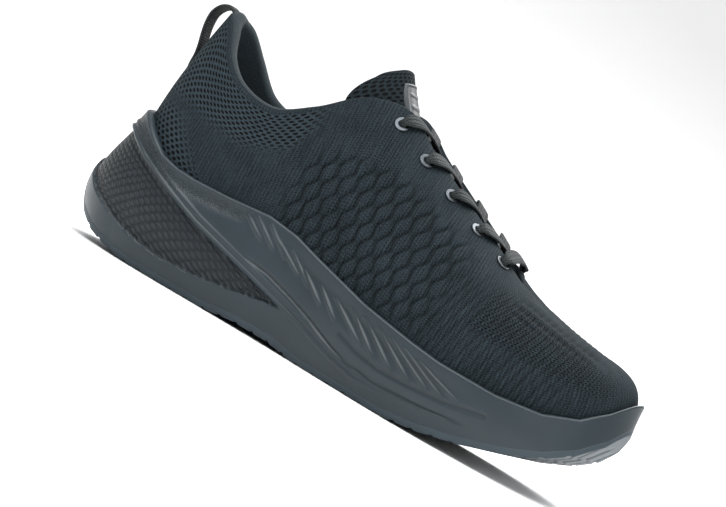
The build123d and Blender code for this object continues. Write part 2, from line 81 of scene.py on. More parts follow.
class Socket:
    """A node output that does arithmetic by adding Math nodes."""

    def __init__(self, shader: "Shader", output: bpy.types.NodeSocket) -> None:
        """Wrap an output of a node of one shader."""
        self.shader = shader
        self.output = output

    def _math(self, operation: str, *values: "Socket | float") -> "Socket":
        """Add one Math node."""
        return self.shader.node("ShaderNodeMath", {"operation": operation}, dict(enumerate(values)))

    def __add__(self, other: "Socket | float") -> "Socket":
        """self + other."""
        return self._math("ADD", self, other)

    __radd__ = __add__

    def __sub__(self, other: "Socket | float") -> "Socket":
        """self - other."""
        return self._math("SUBTRACT", self, other)

    def __rsub__(self, other: float) -> "Socket":
        """other - self."""
        return self._math("SUBTRACT", other, self)

    def __mul__(self, other: "Socket | float") -> "Socket":
        """self * other."""
        return self._math("MULTIPLY", self, other)

    __rmul__ = __mul__

    def __truediv__(self, other: "Socket | float") -> "Socket":
        """self / other."""
        return self._math("DIVIDE", self, other)

    def sin(self) -> "Socket":
        """Sine of the value."""
        return self._math("SINE", self)

    def abs(self) -> "Socket":
        """Size of the value."""
        return self._math("ABSOLUTE", self)

    def floor(self) -> "Socket":
        """Whole part of the value."""
        return self._math("FLOOR", self)

    def fract(self) -> "Socket":
        """Fraction of the value."""
        return self._math("FRACT", self)

    def maximum(self, other: "Socket | float") -> "Socket":
        """The larger of two values."""
        return self._math("MAXIMUM", self, other)

    def minimum(self, other: "Socket | float") -> "Socket":
        """The smaller of two values."""
        return self._math("MINIMUM", self, other)

    def step(self, low: float, high: float) -> "Socket":
        """Smooth 0 to 1 between low and high."""
        settings = {"interpolation_type": "SMOOTHSTEP", "clamp": True}
        sockets = {"Value": self, "From Min": low, "From Max": high}
        return self.shader.node("ShaderNodeMapRange", settings, sockets)


class Shader:
    """One material and the nodes in it."""

    def __init__(self, name: str) -> None:
        """Start an empty material.

        Args:
            name: Name of the material.
        """
        self.material = bpy.data.materials.new(name)
        self.material.use_nodes = True
        self.tree = self.material.node_tree
        self.tree.nodes.clear()

    def node(
        self, kind: str, settings: dict | None = None, inputs: dict | None = None, output: str | int = 0
    ) -> Socket:
        """Add any node.

        Args:
            kind: Node type.
            settings: Properties that are set before the sockets.
            inputs: Values or links of the sockets, by name or number.
            output: The output to return.

        Returns:
            The chosen output.
        """
        made = self.tree.nodes.new(kind)
        for key, value in (settings or {}).items():
            setattr(made, key, value)
        for key, value in (inputs or {}).items():
            if isinstance(value, Socket):
                self.tree.links.new(value.output, made.inputs[key])
            else:
                made.inputs[key].default_value = value
        return Socket(self, made.outputs[output])

    def _millimetres(self, vector: Socket, axes: int) -> tuple[Socket, ...]:
        """Split a vector in metres into values in millimetres.

        Args:
            vector: The vector to split.
            axes: How many of its axes are wanted.

        Returns:
            One value for each axis.
        """
        split = self.tree.nodes.new("ShaderNodeSeparateXYZ")
        self.tree.links.new(vector.output, split.inputs[0])
        return tuple(Socket(self, split.outputs[axis]) * (1 / MM) for axis in range(axes))

    def uv(self) -> tuple[Socket, ...]:
        """The piece's own map, in millimetres along and up the surface."""
        return self._millimetres(self.node("ShaderNodeUVMap", {"uv_map": WEAVE_MAP}), 2)

    def object_mm(self) -> tuple[Socket, ...]:
        """Object coordinates in millimetres."""
        return self._millimetres(self.node("ShaderNodeTexCoord", output="Object"), 3)

    def mask(self, zone: Zone) -> Socket:
        """A painted zone of the piece, 0 to 1."""
        return self.node("ShaderNodeAttribute", {"attribute_name": zone.value}, output="Fac")

    def vector(self, x: Socket | float, y: Socket | float, z: Socket | float = 0.0) -> Socket:
        """Combine three values."""
        return self.node("ShaderNodeCombineXYZ", None, {0: x, 1: y, 2: z})

    def noise(self, vector: Socket, scale: float, detail: float = 2.0) -> Socket:
        """Noise value 0 to 1."""
        return self.node("ShaderNodeTexNoise", None, {"Vector": vector, "Scale": scale, "Detail": detail})

    def cells(self, vector: Socket, scale: float, feature: str = "F1") -> Socket:
        """Distance pattern of scattered cells."""
        sockets = {"Vector": vector, "Scale": scale}
        return self.node("ShaderNodeTexVoronoi", {"feature": feature}, sockets, output="Distance")

    def staggered(self, u: Socket, v: Socket, pitch: float, row: float) -> tuple[Socket, Socket]:
        """Places in the cells of rows that are staggered by half a cell.

        Args:
            u: Distance along the rows.
            v: Distance across the rows.
            pitch: Length of a cell.
            row: Height of a row.

        Returns:
            Distances from the middle of the nearest cell, along and across the rows.
        """
        across = v / row
        shift = (across.floor() * 0.5).fract()
        return ((u / pitch + shift).fract() - 0.5) * pitch, (across.fract() - 0.5) * row

    def mix(self, factor: Socket | float, low: Socket | tuple, high: Socket | tuple) -> Socket:
        """Blend two colours.

        Args:
            factor: Share of the second colour.
            low: First colour.
            high: Second colour.

        Returns:
            The blended colour.
        """
        made = self.tree.nodes.new("ShaderNodeMix")
        made.data_type = "RGBA"
        for socket, value in ((made.inputs[0], factor), (made.inputs[6], low), (made.inputs[7], high)):
            if isinstance(value, Socket):
                self.tree.links.new(value.output, socket)
            else:
                socket.default_value = value
        return Socket(self, made.outputs[2])

    def bump(self, height: Socket, distance: float, strength: float = 1.0) -> Socket:
        """Surface relief from a height value."""
        sockets = {"Height": height, "Distance": distance, "Strength": strength}
        return self.node("ShaderNodeBump", None, sockets)

    def surface(self, **inputs: Socket | float | tuple) -> bpy.types.Material:
        """Finish with a Principled surface.

        Args:
            **inputs: Values of its sockets, named with underscores for spaces.

        Returns:
            The finished material.
        """
        named = {key.replace("_", " "): value for key, value in inputs.items()}
        shader = self.node("ShaderNodeBsdfPrincipled", None, named)
        target = self.tree.nodes.new("ShaderNodeOutputMaterial")
        self.tree.links.new(shader.output, target.inputs["Surface"])
        return self.material


def grey_blue(value: float, tint: float = 0.10) -> Colour:
    """A dark slate colour of a given lightness."""
    return (value * (1 - tint), value * (1 + 0.2 * tint), value * (1 + tint), 1.0)


# ---------------------------------------------------------------------------------------------
# Finishes
# ---------------------------------------------------------------------------------------------


@dataclass(frozen=True)
class KnitFinish:
    """Fine polyester knit with an open mesh zone and a perforated zone."""

    base: float = 0.0045
    high: float = 0.031
    tint: float = 0.3
    stitch_mm: float = 1.9
    mesh_mm: float = 4.4
    mesh_row_mm: float = 2.2
    dot_mm: float = 2.4
    dot_row_mm: float = 1.5
    relief_mm: float = 1.3

    def build(self) -> bpy.types.Material:
        """Build the knit material.

        Returns:
            The material.
        """
        shader = Shader("knit")
        u, v = shader.uv()
        place = shader.vector(u, v)
        wale = (u * (FULL_TURN / self.stitch_mm)).sin()
        course = ((v * (FULL_TURN / (self.stitch_mm * 0.7))) + wale * 1.4).sin()
        fuzz = shader.noise(place, 2.2, 3.0)
        streak = shader.noise(shader.vector(u * 0.9, v * 0.09), 1.0, 3.0)
        grain = shader.noise(place, 1.25, 1.0)
        stitches = (wale * 0.4 + course * 0.5) * 0.4 + fuzz * 0.9 + streak * 0.9 + grain * 1.4 - 1.1
        cell_u, cell_v = shader.staggered(u, v, self.mesh_mm, self.mesh_row_mm)
        hole = 1 - (cell_u * cell_u * 0.42 + cell_v * cell_v * 1.05).step(0.30, 0.90)
        dot_u, dot_v = shader.staggered(u, v, self.dot_mm, self.dot_row_mm)
        dot = (1 - (dot_u * dot_u + dot_v * dot_v * 1.4).step(0.08, 0.42)) * shader.mask(Zone.PERFORATED)
        mesh_zone = shader.mask(Zone.OPEN_MESH)
        opening = (hole * mesh_zone).maximum(dot * 0.9)
        height = stitches * 0.16 - opening
        patchy = shader.noise(place, 0.05)
        light = (stitches * 0.7 + patchy * 0.3 - 0.05).step(0.0, 1.0) + mesh_zone * 0.5
        colour = shader.mix(light, grey_blue(self.base, self.tint), grey_blue(self.high, self.tint))
        # Painted shade: the mesh openings, the perforations and the shaded knit zone are mixed towards near
        # black.
        shade = (opening + shader.mask(Zone.SHADED_KNIT) * 0.62).minimum(1.0)
        colour = shader.mix(shade, colour, grey_blue(self.base * 0.2, self.tint))
        bump = shader.bump(height, self.relief_mm * MM)
        return shader.surface(Base_Color=colour, Roughness=0.85, Specular_IOR_Level=0.10, Normal=bump)


@dataclass(frozen=True)
class OpenMeshFinish:
    """Tongue mesh with small round openings."""

    base: float = 0.006
    high: float = 0.024
    # Colour of the painted shade in the mesh openings.
    hollow: float = 0.002
    tint: float = 0.3
    pitch_mm: float = 3.1
    row_share: float = 0.62
    relief_mm: float = 1.0

    def build(self) -> bpy.types.Material:
        """Build the mesh material.

        Returns:
            The material.
        """
        shader = Shader("open_mesh")
        u, v = shader.uv()
        cell_u, cell_v = shader.staggered(u, v, self.pitch_mm, self.pitch_mm * self.row_share)
        hole = 1 - (cell_u * cell_u * 0.55 + cell_v * cell_v * 1.1).step(0.22, 0.66)
        thread = shader.noise(shader.vector(u, v), 2.4)
        colour = shader.mix(thread, grey_blue(self.base, self.tint), grey_blue(self.high, self.tint))
        # Painted shade: the openings are darkened to the hollow colour.
        colour = shader.mix(hole, colour, grey_blue(self.hollow))
        bump = shader.bump(thread * 0.2 - hole, self.relief_mm * MM)
        return shader.surface(Base_Color=colour, Roughness=0.86, Specular_IOR_Level=0.10, Normal=bump)


@dataclass(frozen=True)
class LiningFinish:
    """Plain warp-knit lining."""

    name: str = "lining"
    base: float = 0.012
    high: float = 0.024
    tint: float = 0.28
    relief_mm: float = 0.3

    def build(self) -> bpy.types.Material:
        """Build the lining material.

        Returns:
            The material.
        """
        shader = Shader(self.name)
        place = shader.vector(*shader.object_mm())
        grain = shader.cells(place, 1.3)
        light = grain * 0.8 + shader.noise(place, 0.06) * 0.3
        return shader.surface(
            Base_Color=shader.mix(light, grey_blue(self.base, self.tint), grey_blue(self.high, self.tint)),
            Roughness=0.92, Specular_IOR_Level=0.16, Sheen_Weight=0.05,
            Normal=shader.bump(grain, self.relief_mm * MM, 0.7),
        )


@dataclass(frozen=True)
class BraidFinish:
    """Flat tubular braid: lengthwise cords crossed by fine picks."""

    cord_mm: float = 1.45
    pick_mm: float = 1.5
    relief_mm: float = 0.5
    low: Colour = (0.005, 0.0065, 0.007, 1.0)
    high: Colour = (0.025, 0.031, 0.033, 1.0)

    def build(self) -> bpy.types.Material:
        """Build the braid material.

        Returns:
            The material.
        """
        shader = Shader("lace_braid")
        u, v = shader.uv()
        cords = (u * (FULL_TURN / self.cord_mm)).sin()
        picks = ((v * (FULL_TURN / self.pick_mm)) + cords * 1.9).sin()
        fuzz = shader.noise(shader.vector(u, v), 2.5)
        height = cords * 0.55 + picks * 0.35 + fuzz * 0.3
        light = (height * 0.45 + 0.5).step(0.0, 1.0)
        return shader.surface(
            Base_Color=shader.mix(light, self.low, self.high), Roughness=0.75, Specular_IOR_Level=0.25,
            Sheen_Weight=0.03, Normal=shader.bump(height, self.relief_mm * MM),
        )


@dataclass(frozen=True)
class WebbingFinish:
    """Woven webbing of the pull loop."""

    base: float = 0.006
    high: float = 0.022
    threads_per_mm: float = 2.6
    relief_mm: float = 0.3

    def build(self) -> bpy.types.Material:
        """Build the webbing material.

        Returns:
            The material.
        """
        shader = Shader("webbing")
        _, y, z = shader.object_mm()
        across, up = y * self.threads_per_mm, z * self.threads_per_mm
        twill = (across + up).sin() * (across - up).sin()
        light = (twill * 0.5 + 0.5).step(0.0, 1.0)
        colour = shader.mix(light, grey_blue(self.base), grey_blue(self.high))
        bump = shader.bump(twill, self.relief_mm * MM, 0.9)
        return shader.surface(Base_Color=colour, Roughness=0.85, Specular_IOR_Level=0.2, Normal=bump)


@dataclass(frozen=True)
class FoamSoleFinish:
    """Moulded foam of the sole with grained and satin zones, a studded heel panel darkened by painted shade,
    and painted shade in its grooves.
    """

    name: str = "midsole_foam"
    base: float = 0.018
    high: float = 0.030
    roughness: float = 0.32
    tint: float = 0.3
    # Colour of the painted shade on the recessed heel panel.
    panel_shade_colour: Colour = grey_blue(0.005, 0.45)
    # Colour of the painted shade in the grooves, crease and hollows.
    groove_shade_colour: Colour = grey_blue(0.006, 0.3)
    grain_colour: Colour = grey_blue(0.008, 0.3)
    stud_mm: float = 4.4
    stud_row_mm: float = 2.7
    relief_mm: float = 0.5

    def build(self) -> bpy.types.Material:
        """Build the sole material.

        Returns:
            The material.
        """
        shader = Shader(self.name)
        x, y, z = shader.object_mm()
        place = shader.vector(x, y, z)
        grained = shader.mask(Zone.GRAINED)
        studded = shader.mask(Zone.STUDDED)
        grain = shader.cells(place, 0.95, "DISTANCE_TO_EDGE").step(0.0, 0.30)
        fine = shader.noise(place, 3.2)
        drift = shader.noise(place, 0.035, 3.0)
        cell_u, cell_v = shader.staggered((x + y.abs()) * 0.8, z + x * 0.42, self.stud_mm, self.stud_row_mm)
        stud = 1 - (cell_u * cell_u * 0.24 + cell_v * cell_v * 0.8).step(0.25, 1.1)
        satin = shader.noise(place, 1.3) * shader.mask(Zone.SATIN)
        height = (grain - 1) * grained + fine * 0.10 + satin * 0.5 + (stud - 1) * studded * 1.7
        colour = shader.mix(drift, grey_blue(self.base, self.tint), grey_blue(self.high, self.tint))
        # Painted shade: the heel panel is darkened, more between its studs than on them.
        colour = shader.mix(studded * (0.95 - stud * 0.45), colour, self.panel_shade_colour)
        # Painted shade: darker in the crease, the hollows, between the fins and under the ridge.
        colour = shader.mix(shader.mask(Zone.SHADED_FOAM) * 0.7, colour, self.groove_shade_colour)
        colour = shader.mix((1 - grain) * grained * 0.6, colour, self.grain_colour)
        rough = (self.roughness + fine * 0.12) + studded * 0.10 - grained * 0.04
        bump = shader.bump(height, self.relief_mm * MM)
        return shader.surface(Base_Color=colour, Roughness=rough, Specular_IOR_Level=0.28, Normal=bump)


@dataclass(frozen=True)
class PlainFinish:
    """Moulded plastic, film or board with a fine grain."""

    name: str
    colour: Colour
    roughness: float = 0.5
    grain_mm: float = 0.6
    depth_mm: float = 0.08
    mottle: float = 0.2

    def build(self) -> bpy.types.Material:
        """Build the material.

        Returns:
            The material.
        """
        shader = Shader(self.name)
        grain = shader.noise(shader.vector(*shader.object_mm()), 1.0 / self.grain_mm)
        darker = tuple(channel * (1 - self.mottle) for channel in self.colour[:3]) + (1.0,)
        return shader.surface(
            Base_Color=shader.mix(grain, darker, self.colour), Roughness=self.roughness,
            Normal=shader.bump(grain, self.depth_mm * MM, 0.6),
        )


@dataclass(frozen=True)
class MetalFinish:
    """Plated metal of the eyelets with fine wear."""

    plated: Colour = (0.022, 0.026, 0.030, 1.0)
    worn: Colour = (0.085, 0.095, 0.105, 1.0)

    def build(self) -> bpy.types.Material:
        """Build the metal material.

        Returns:
            The material.
        """
        shader = Shader("eyelet_metal")
        wear = shader.noise(shader.vector(*shader.object_mm()), 0.9, 3.0)
        colour = shader.mix(wear, self.plated, self.worn)
        return shader.surface(Base_Color=colour, Roughness=0.26 + wear * 0.14, Metallic=1.0)


# ---------------------------------------------------------------------------------------------
# Mesh helpers
# ---------------------------------------------------------------------------------------------


def new_piece(name: str, points: np.ndarray, faces: list, material: bpy.types.Material) -> bpy.types.Object:
    """Make a mesh object from drawing coordinates in millimetres.

    Args:
        name: Name of the piece.
        points: One row of three numbers for each vertex.
        faces: Vertex numbers of each face.
        material: Finish of the piece.

    Returns:
        The new object, with smooth faces.
    """
    mesh = bpy.data.meshes.new(name)
    mesh.from_pydata(((points + DRAWING_ORIGIN) * MM).tolist(), [], faces)
    mesh.update()
    mesh.materials.append(material)
    mesh.polygons.foreach_set("use_smooth", [True] * len(mesh.polygons))
    piece = bpy.data.objects.new(name, mesh)
    bpy.context.collection.objects.link(piece)
    return piece


def paint(piece: bpy.types.Object, zone: Zone, values: np.ndarray) -> None:
    """Store a zone's value on each vertex."""
    layer = piece.data.attributes.new(zone.value, "FLOAT", "POINT")
    layer.data.foreach_set("value", values.astype(np.float32).ravel())


def grid_faces(rows: int, columns: int, close_rows: bool, close_columns: bool) -> list[tuple[int, ...]]:
    """Faces of a grid of vertices, row by row.

    Args:
        rows: Number of vertex rows.
        columns: Number of vertices in a row.
        close_rows: Whether the last row joins the first.
        close_columns: Whether each row is a ring.

    Returns:
        The vertex numbers of each face.
    """
    faces = []
    for row in range(rows if close_rows else rows - 1):
        here, above = row * columns, (row + 1) % rows * columns
        for column in range(columns if close_columns else columns - 1):
            right = (column + 1) % columns
            faces.append((here + column, here + right, above + right, above + column))
    return faces


def tube_faces(rows: int, columns: int) -> list[tuple[int, ...]]:
    """Faces of a tube of vertex rings, with a face across each end.

    Args:
        rows: Number of rings.
        columns: Number of vertices in a ring.

    Returns:
        The vertex numbers of each face.
    """
    faces = grid_faces(rows, columns, False, True)
    return [*faces, tuple(range(columns))[::-1], tuple(range((rows - 1) * columns, rows * columns))]


def running_length(steps: np.ndarray) -> np.ndarray:
    """Distance from the start after each step, with a zero first."""
    return np.concatenate([[0], np.cumsum(steps)])


def map_weave(piece: bpy.types.Object, along: np.ndarray, up: np.ndarray) -> None:
    """Give a grid piece a map in metres along and up its surface.

    Args:
        piece: The grid piece, its faces in the order of grid_faces.
        along: Distance of each column, with one more for the closing column.
        up: Distance of each row, with one more for the closing row.
    """
    layer = piece.data.uv_layers.new(name=WEAVE_MAP)
    face_rows = len(up) - 1
    face_columns = len(along) - 1
    row = np.repeat(np.arange(face_rows), face_columns)
    column = np.tile(np.arange(face_columns), face_rows)
    us = np.stack([along[column], along[column + 1], along[column + 1], along[column]], axis=1)
    vs = np.stack([up[row], up[row], up[row + 1], up[row + 1]], axis=1)
    values = np.stack([us, vs], axis=2).reshape(-1) * MM
    full = np.zeros(len(piece.data.loops) * 2, dtype=np.float32)
    full[: len(values)] = values
    layer.data.foreach_set("uv", full)


def outward_normals(grid: np.ndarray) -> np.ndarray:
    """Unit normals of a grid of points.

    Args:
        grid: Rows up the surface, each a closed ring of points round it.

    Returns:
        One normal for each point.
    """
    around = np.roll(grid, -1, axis=1) - np.roll(grid, 1, axis=1)
    normals = np.cross(around, np.gradient(grid, axis=0))
    return normals / np.maximum(np.linalg.norm(normals, axis=2, keepdims=True), 1e-9)


def smooth_loop(values: np.ndarray, places: np.ndarray) -> np.ndarray:
    """Catmull-Rom values of a closed ring at fractional places.

    Args:
        values: Values round the ring.
        places: Places round it, in whole values from the first.

    Returns:
        One value for each place.
    """
    count = len(values)
    base = np.floor(places).astype(int)
    t = (places - base).reshape((-1,) + (1,) * (values.ndim - 1))
    before, here, after, beyond = (values[(base + step) % count] for step in (-1, 0, 1, 2))
    return 0.5 * (
        2 * here + (after - before) * t + (2 * before - 5 * here + 4 * after - beyond) * t**2
        + (3 * here - before - 3 * after + beyond) * t**3
    )


def profile(line: Line, x: np.ndarray) -> np.ndarray:
    """Height of a side profile at x."""
    xs, zs = zip(*line)
    return np.interp(x, xs, zs)


def line_distance(x: np.ndarray, z: np.ndarray, line: Line) -> np.ndarray:
    """Distance of points to a line of straight stretches in the side view.

    Args:
        x: Distance of each point from the heel.
        z: Height of each point.
        line: Corners (x, z) of the line.

    Returns:
        One distance for each point.
    """
    best = np.full(x.shape, 1e9)
    for (x0, z0), (x1, z1) in zip(line, line[1:]):
        dx, dz = x1 - x0, z1 - z0
        t = np.clip(((x - x0) * dx + (z - z0) * dz) / (dx * dx + dz * dz), 0, 1)
        best = np.minimum(best, np.hypot(x - x0 - t * dx, z - z0 - t * dz))
    return best


def smooth_step(value: np.ndarray, low: float, high: float) -> np.ndarray:
    """Smooth 0 to 1 between low and high."""
    t = np.clip((value - low) / (high - low), 0, 1)
    return t * t * (3 - 2 * t)


def span(value: np.ndarray, rise: tuple[float, float], fall: tuple[float, float]) -> np.ndarray:
    """Smooth 0 to 1 over the rise and back to 0 over the fall."""
    return smooth_step(value, *rise) * (1 - smooth_step(value, *fall))


def hump(distance: np.ndarray, width: float) -> np.ndarray:
    """A rounded ridge, 1 in its middle and near 0 at twice its width."""
    return np.exp(-(distance / width)**2)


def unit(vectors: np.ndarray) -> np.ndarray:
    """Vectors of the same directions and of length 1."""
    return vectors / np.linalg.norm(vectors, axis=-1, keepdims=True)


def rounded(angles: np.ndarray, width_power: float, rise_power: float) -> tuple[np.ndarray, np.ndarray]:
    """A rounded box section.

    Args:
        angles: Angles round the section.
        width_power: Power of the cosine: 1 is an ellipse, less is squarer.
        rise_power: Power of the sine.

    Returns:
        Shares of the half width and of the half height at each angle.
    """
    across, rise = np.cos(angles), np.sin(angles)
    return np.sign(across) * np.abs(across)**width_power, np.sign(rise) * np.abs(rise)**rise_power


# ---------------------------------------------------------------------------------------------
# The last: the shared shape of the wall
# ---------------------------------------------------------------------------------------------

Section = tuple[tuple[float, float], Point, tuple[float, float], tuple[float, float]]


@dataclass
class Last:
    """Upright sections of the wall: foot (x, y), top edge (x, y, z) and two control points (reach, z)."""

    heel: Section = ((12.5, 0.0), (20.0, 0.0, 133.0), (-3.5, 75.0), (2.0, 105.0))
    toe: Section = ((297.5, 9.0), (219.5, 3.0, 86.8), (-3.0, 90.0), (25.0, 67.0))
    lateral: Sequence[Section] = (
        ((15.5, -14.0), (22.5, -8.5, 131.5), (-3.0, 75.0), (2.5, 104.0)),
        ((24.5, -25.5), (29.0, -15.5, 125.0), (-3.0, 74.0), (4.0, 100.0)),
        ((39.0, -33.0), (39.0, -22.5, 112.0), (-3.0, 72.0), (5.0, 92.0)),
        ((57.0, -36.0), (54.0, -27.5, 102.5), (-3.0, 66.0), (4.0, 84.0)),
        ((78.0, -36.3), (74.0, -29.5, 100.5), (-3.0, 64.0), (2.5, 82.0)),
        ((98.0, -36.3), (92.0, -28.5, 111.5), (-3.5, 66.0), (2.0, 90.0)),
        ((117.0, -37.3), (111.0, -24.5, 128.0), (-4.0, 70.0), (4.0, 105.0)),
        ((138.0, -39.3), (132.0, -16.0, 133.3), (-5.0, 74.0), (9.0, 118.0)),
        ((157.0, -42.8), (152.0, -13.8, 122.0), (-6.0, 70.0), (10.0, 111.0)),
        ((177.0, -46.6), (171.5, -12.6, 112.3), (-6.0, 64.0), (12.0, 102.0)),
        ((198.0, -49.5), (190.5, -11.2, 103.0), (-6.0, 60.0), (13.0, 94.0)),
        ((220.0, -49.3), (207.5, -8.6, 94.3), (-6.0, 57.0), (13.0, 86.0)),
        ((246.0, -42.5), (215.5, -4.8, 89.4), (-5.0, 60.0), (14.0, 80.0)),
        ((269.0, -31.5), (218.2, -1.6, 87.6), (-4.0, 68.0), (18.0, 76.0)),
        ((287.5, -15.5), (219.2, 0.8, 87.0), (-3.5, 80.0), (22.0, 70.0)),
    )
    medial: Sequence[Section] = (
        ((15.5, 14.0), (22.5, 8.5, 131.5), (-3.0, 75.0), (2.5, 104.0)),
        ((24.5, 25.5), (29.5, 15.5, 128.0), (-3.0, 74.0), (4.0, 100.0)),
        ((39.0, 32.5), (40.0, 22.5, 117.0), (-3.0, 72.0), (5.0, 94.0)),
        ((57.0, 34.5), (55.0, 27.0, 103.5), (-3.0, 66.0), (4.0, 84.0)),
        ((78.0, 33.5), (75.0, 28.5, 101.0), (-3.0, 64.0), (2.5, 82.0)),
        ((98.0, 31.5), (92.0, 27.0, 111.5), (-3.5, 66.0), (2.0, 90.0)),
        ((117.0, 31.0), (111.0, 23.5, 128.0), (-4.0, 70.0), (3.0, 105.0)),
        ((138.0, 33.0), (132.0, 16.0, 133.3), (-5.0, 74.0), (6.0, 116.0)),
        ((157.0, 36.5), (152.0, 14.2, 122.0), (-5.5, 70.0), (8.0, 110.0)),
        ((177.0, 40.5), (171.5, 13.4, 112.3), (-6.0, 64.0), (10.0, 101.0)),
        ((198.0, 45.0), (190.5, 12.6, 103.0), (-6.0, 60.0), (12.0, 93.0)),
        ((220.0, 48.3), (207.5, 11.2, 94.3), (-6.0, 58.0), (13.0, 86.0)),
        ((246.0, 48.5), (215.5, 8.6, 89.4), (-5.0, 60.0), (14.0, 80.0)),
        ((268.0, 42.5), (218.2, 6.8, 87.6), (-4.0, 68.0), (18.0, 76.0)),
        ((289.5, 29.0), (219.2, 4.8, 87.0), (-3.5, 80.0), (22.0, 70.0)),
    )
    footbed: Line = (
        (-10.0, 42.0), (12.0, 41.0), (60.0, 39.0), (100.0, 37.0), (140.0, 33.5),
        (180.0, 29.0), (215.0, 27.0), (240.0, 28.0), (265.0, 32.0), (285.0, 38.0), (310.0, 48.0),
    )

    @property
    def ring(self) -> list[Section]:
        """All sections round the shoe: heel, lateral side, toe, medial side."""
        return [self.heel, *self.lateral, self.toe, *reversed(self.medial)]

    def controls(self, places: np.ndarray) -> np.ndarray:
        """Four control points in space of the wall curve at places round the ring.

        Args:
            places: Places round the ring, in sections from the heel over the lateral side.

        Returns:
            An array of places by four by three.
        """
        rows = []
        for foot, top, low, high in self.ring:
            start = np.array([foot[0], foot[1]])
            reach = np.array([top[0], top[1]]) - start
            inward = reach / np.linalg.norm(reach)
            rows.append([
                [*start, profile(self.footbed, foot[0])], [*(start + inward * low[0]), low[1]],
                [*(start + inward * high[0]), high[1]], list(top),
            ])
        return smooth_loop(np.array(rows, dtype=float), places)

    def wall(self, places: np.ndarray, ups: np.ndarray) -> np.ndarray:
        """Grid of points on the wall's outer face.

        Args:
            places: Places round the ring.
            ups: Places up each section, 0 at the foot and 1 at the top edge.

        Returns:
            An array of ups by places by three.
        """
        c = self.controls(places)
        t = ups.reshape(-1, 1, 1)
        lower = (1 - t)**3 * c[:, 0] + 3 * (1 - t)**2 * t * c[:, 1]
        return lower + 3 * (1 - t) * t**2 * c[:, 2] + t**3 * c[:, 3]

    def feet(self, places: np.ndarray) -> tuple[np.ndarray, np.ndarray]:
        """Foot of the wall.

        Args:
            places: Places round the ring, evenly spaced.

        Returns:
            The foot points (x, y) and the outward direction at each.
        """
        points = self.controls(places)[:, 0, :2]
        along = np.roll(points, -1, axis=0) - np.roll(points, 1, axis=0)
        return points, unit(np.stack([along[:, 1], -along[:, 0]], axis=1))


SECTION_COUNT = 32


def ring_places(steps: int) -> np.ndarray:
    """Even places round the ring, with a number of steps for each section."""
    return np.arange(SECTION_COUNT * steps) / steps


def side_place(places: np.ndarray) -> np.ndarray:
    """Section number from the heel to the toe, the same on both sides."""
    return np.minimum(places, SECTION_COUNT - places)


# ---------------------------------------------------------------------------------------------
# Sole
# ---------------------------------------------------------------------------------------------


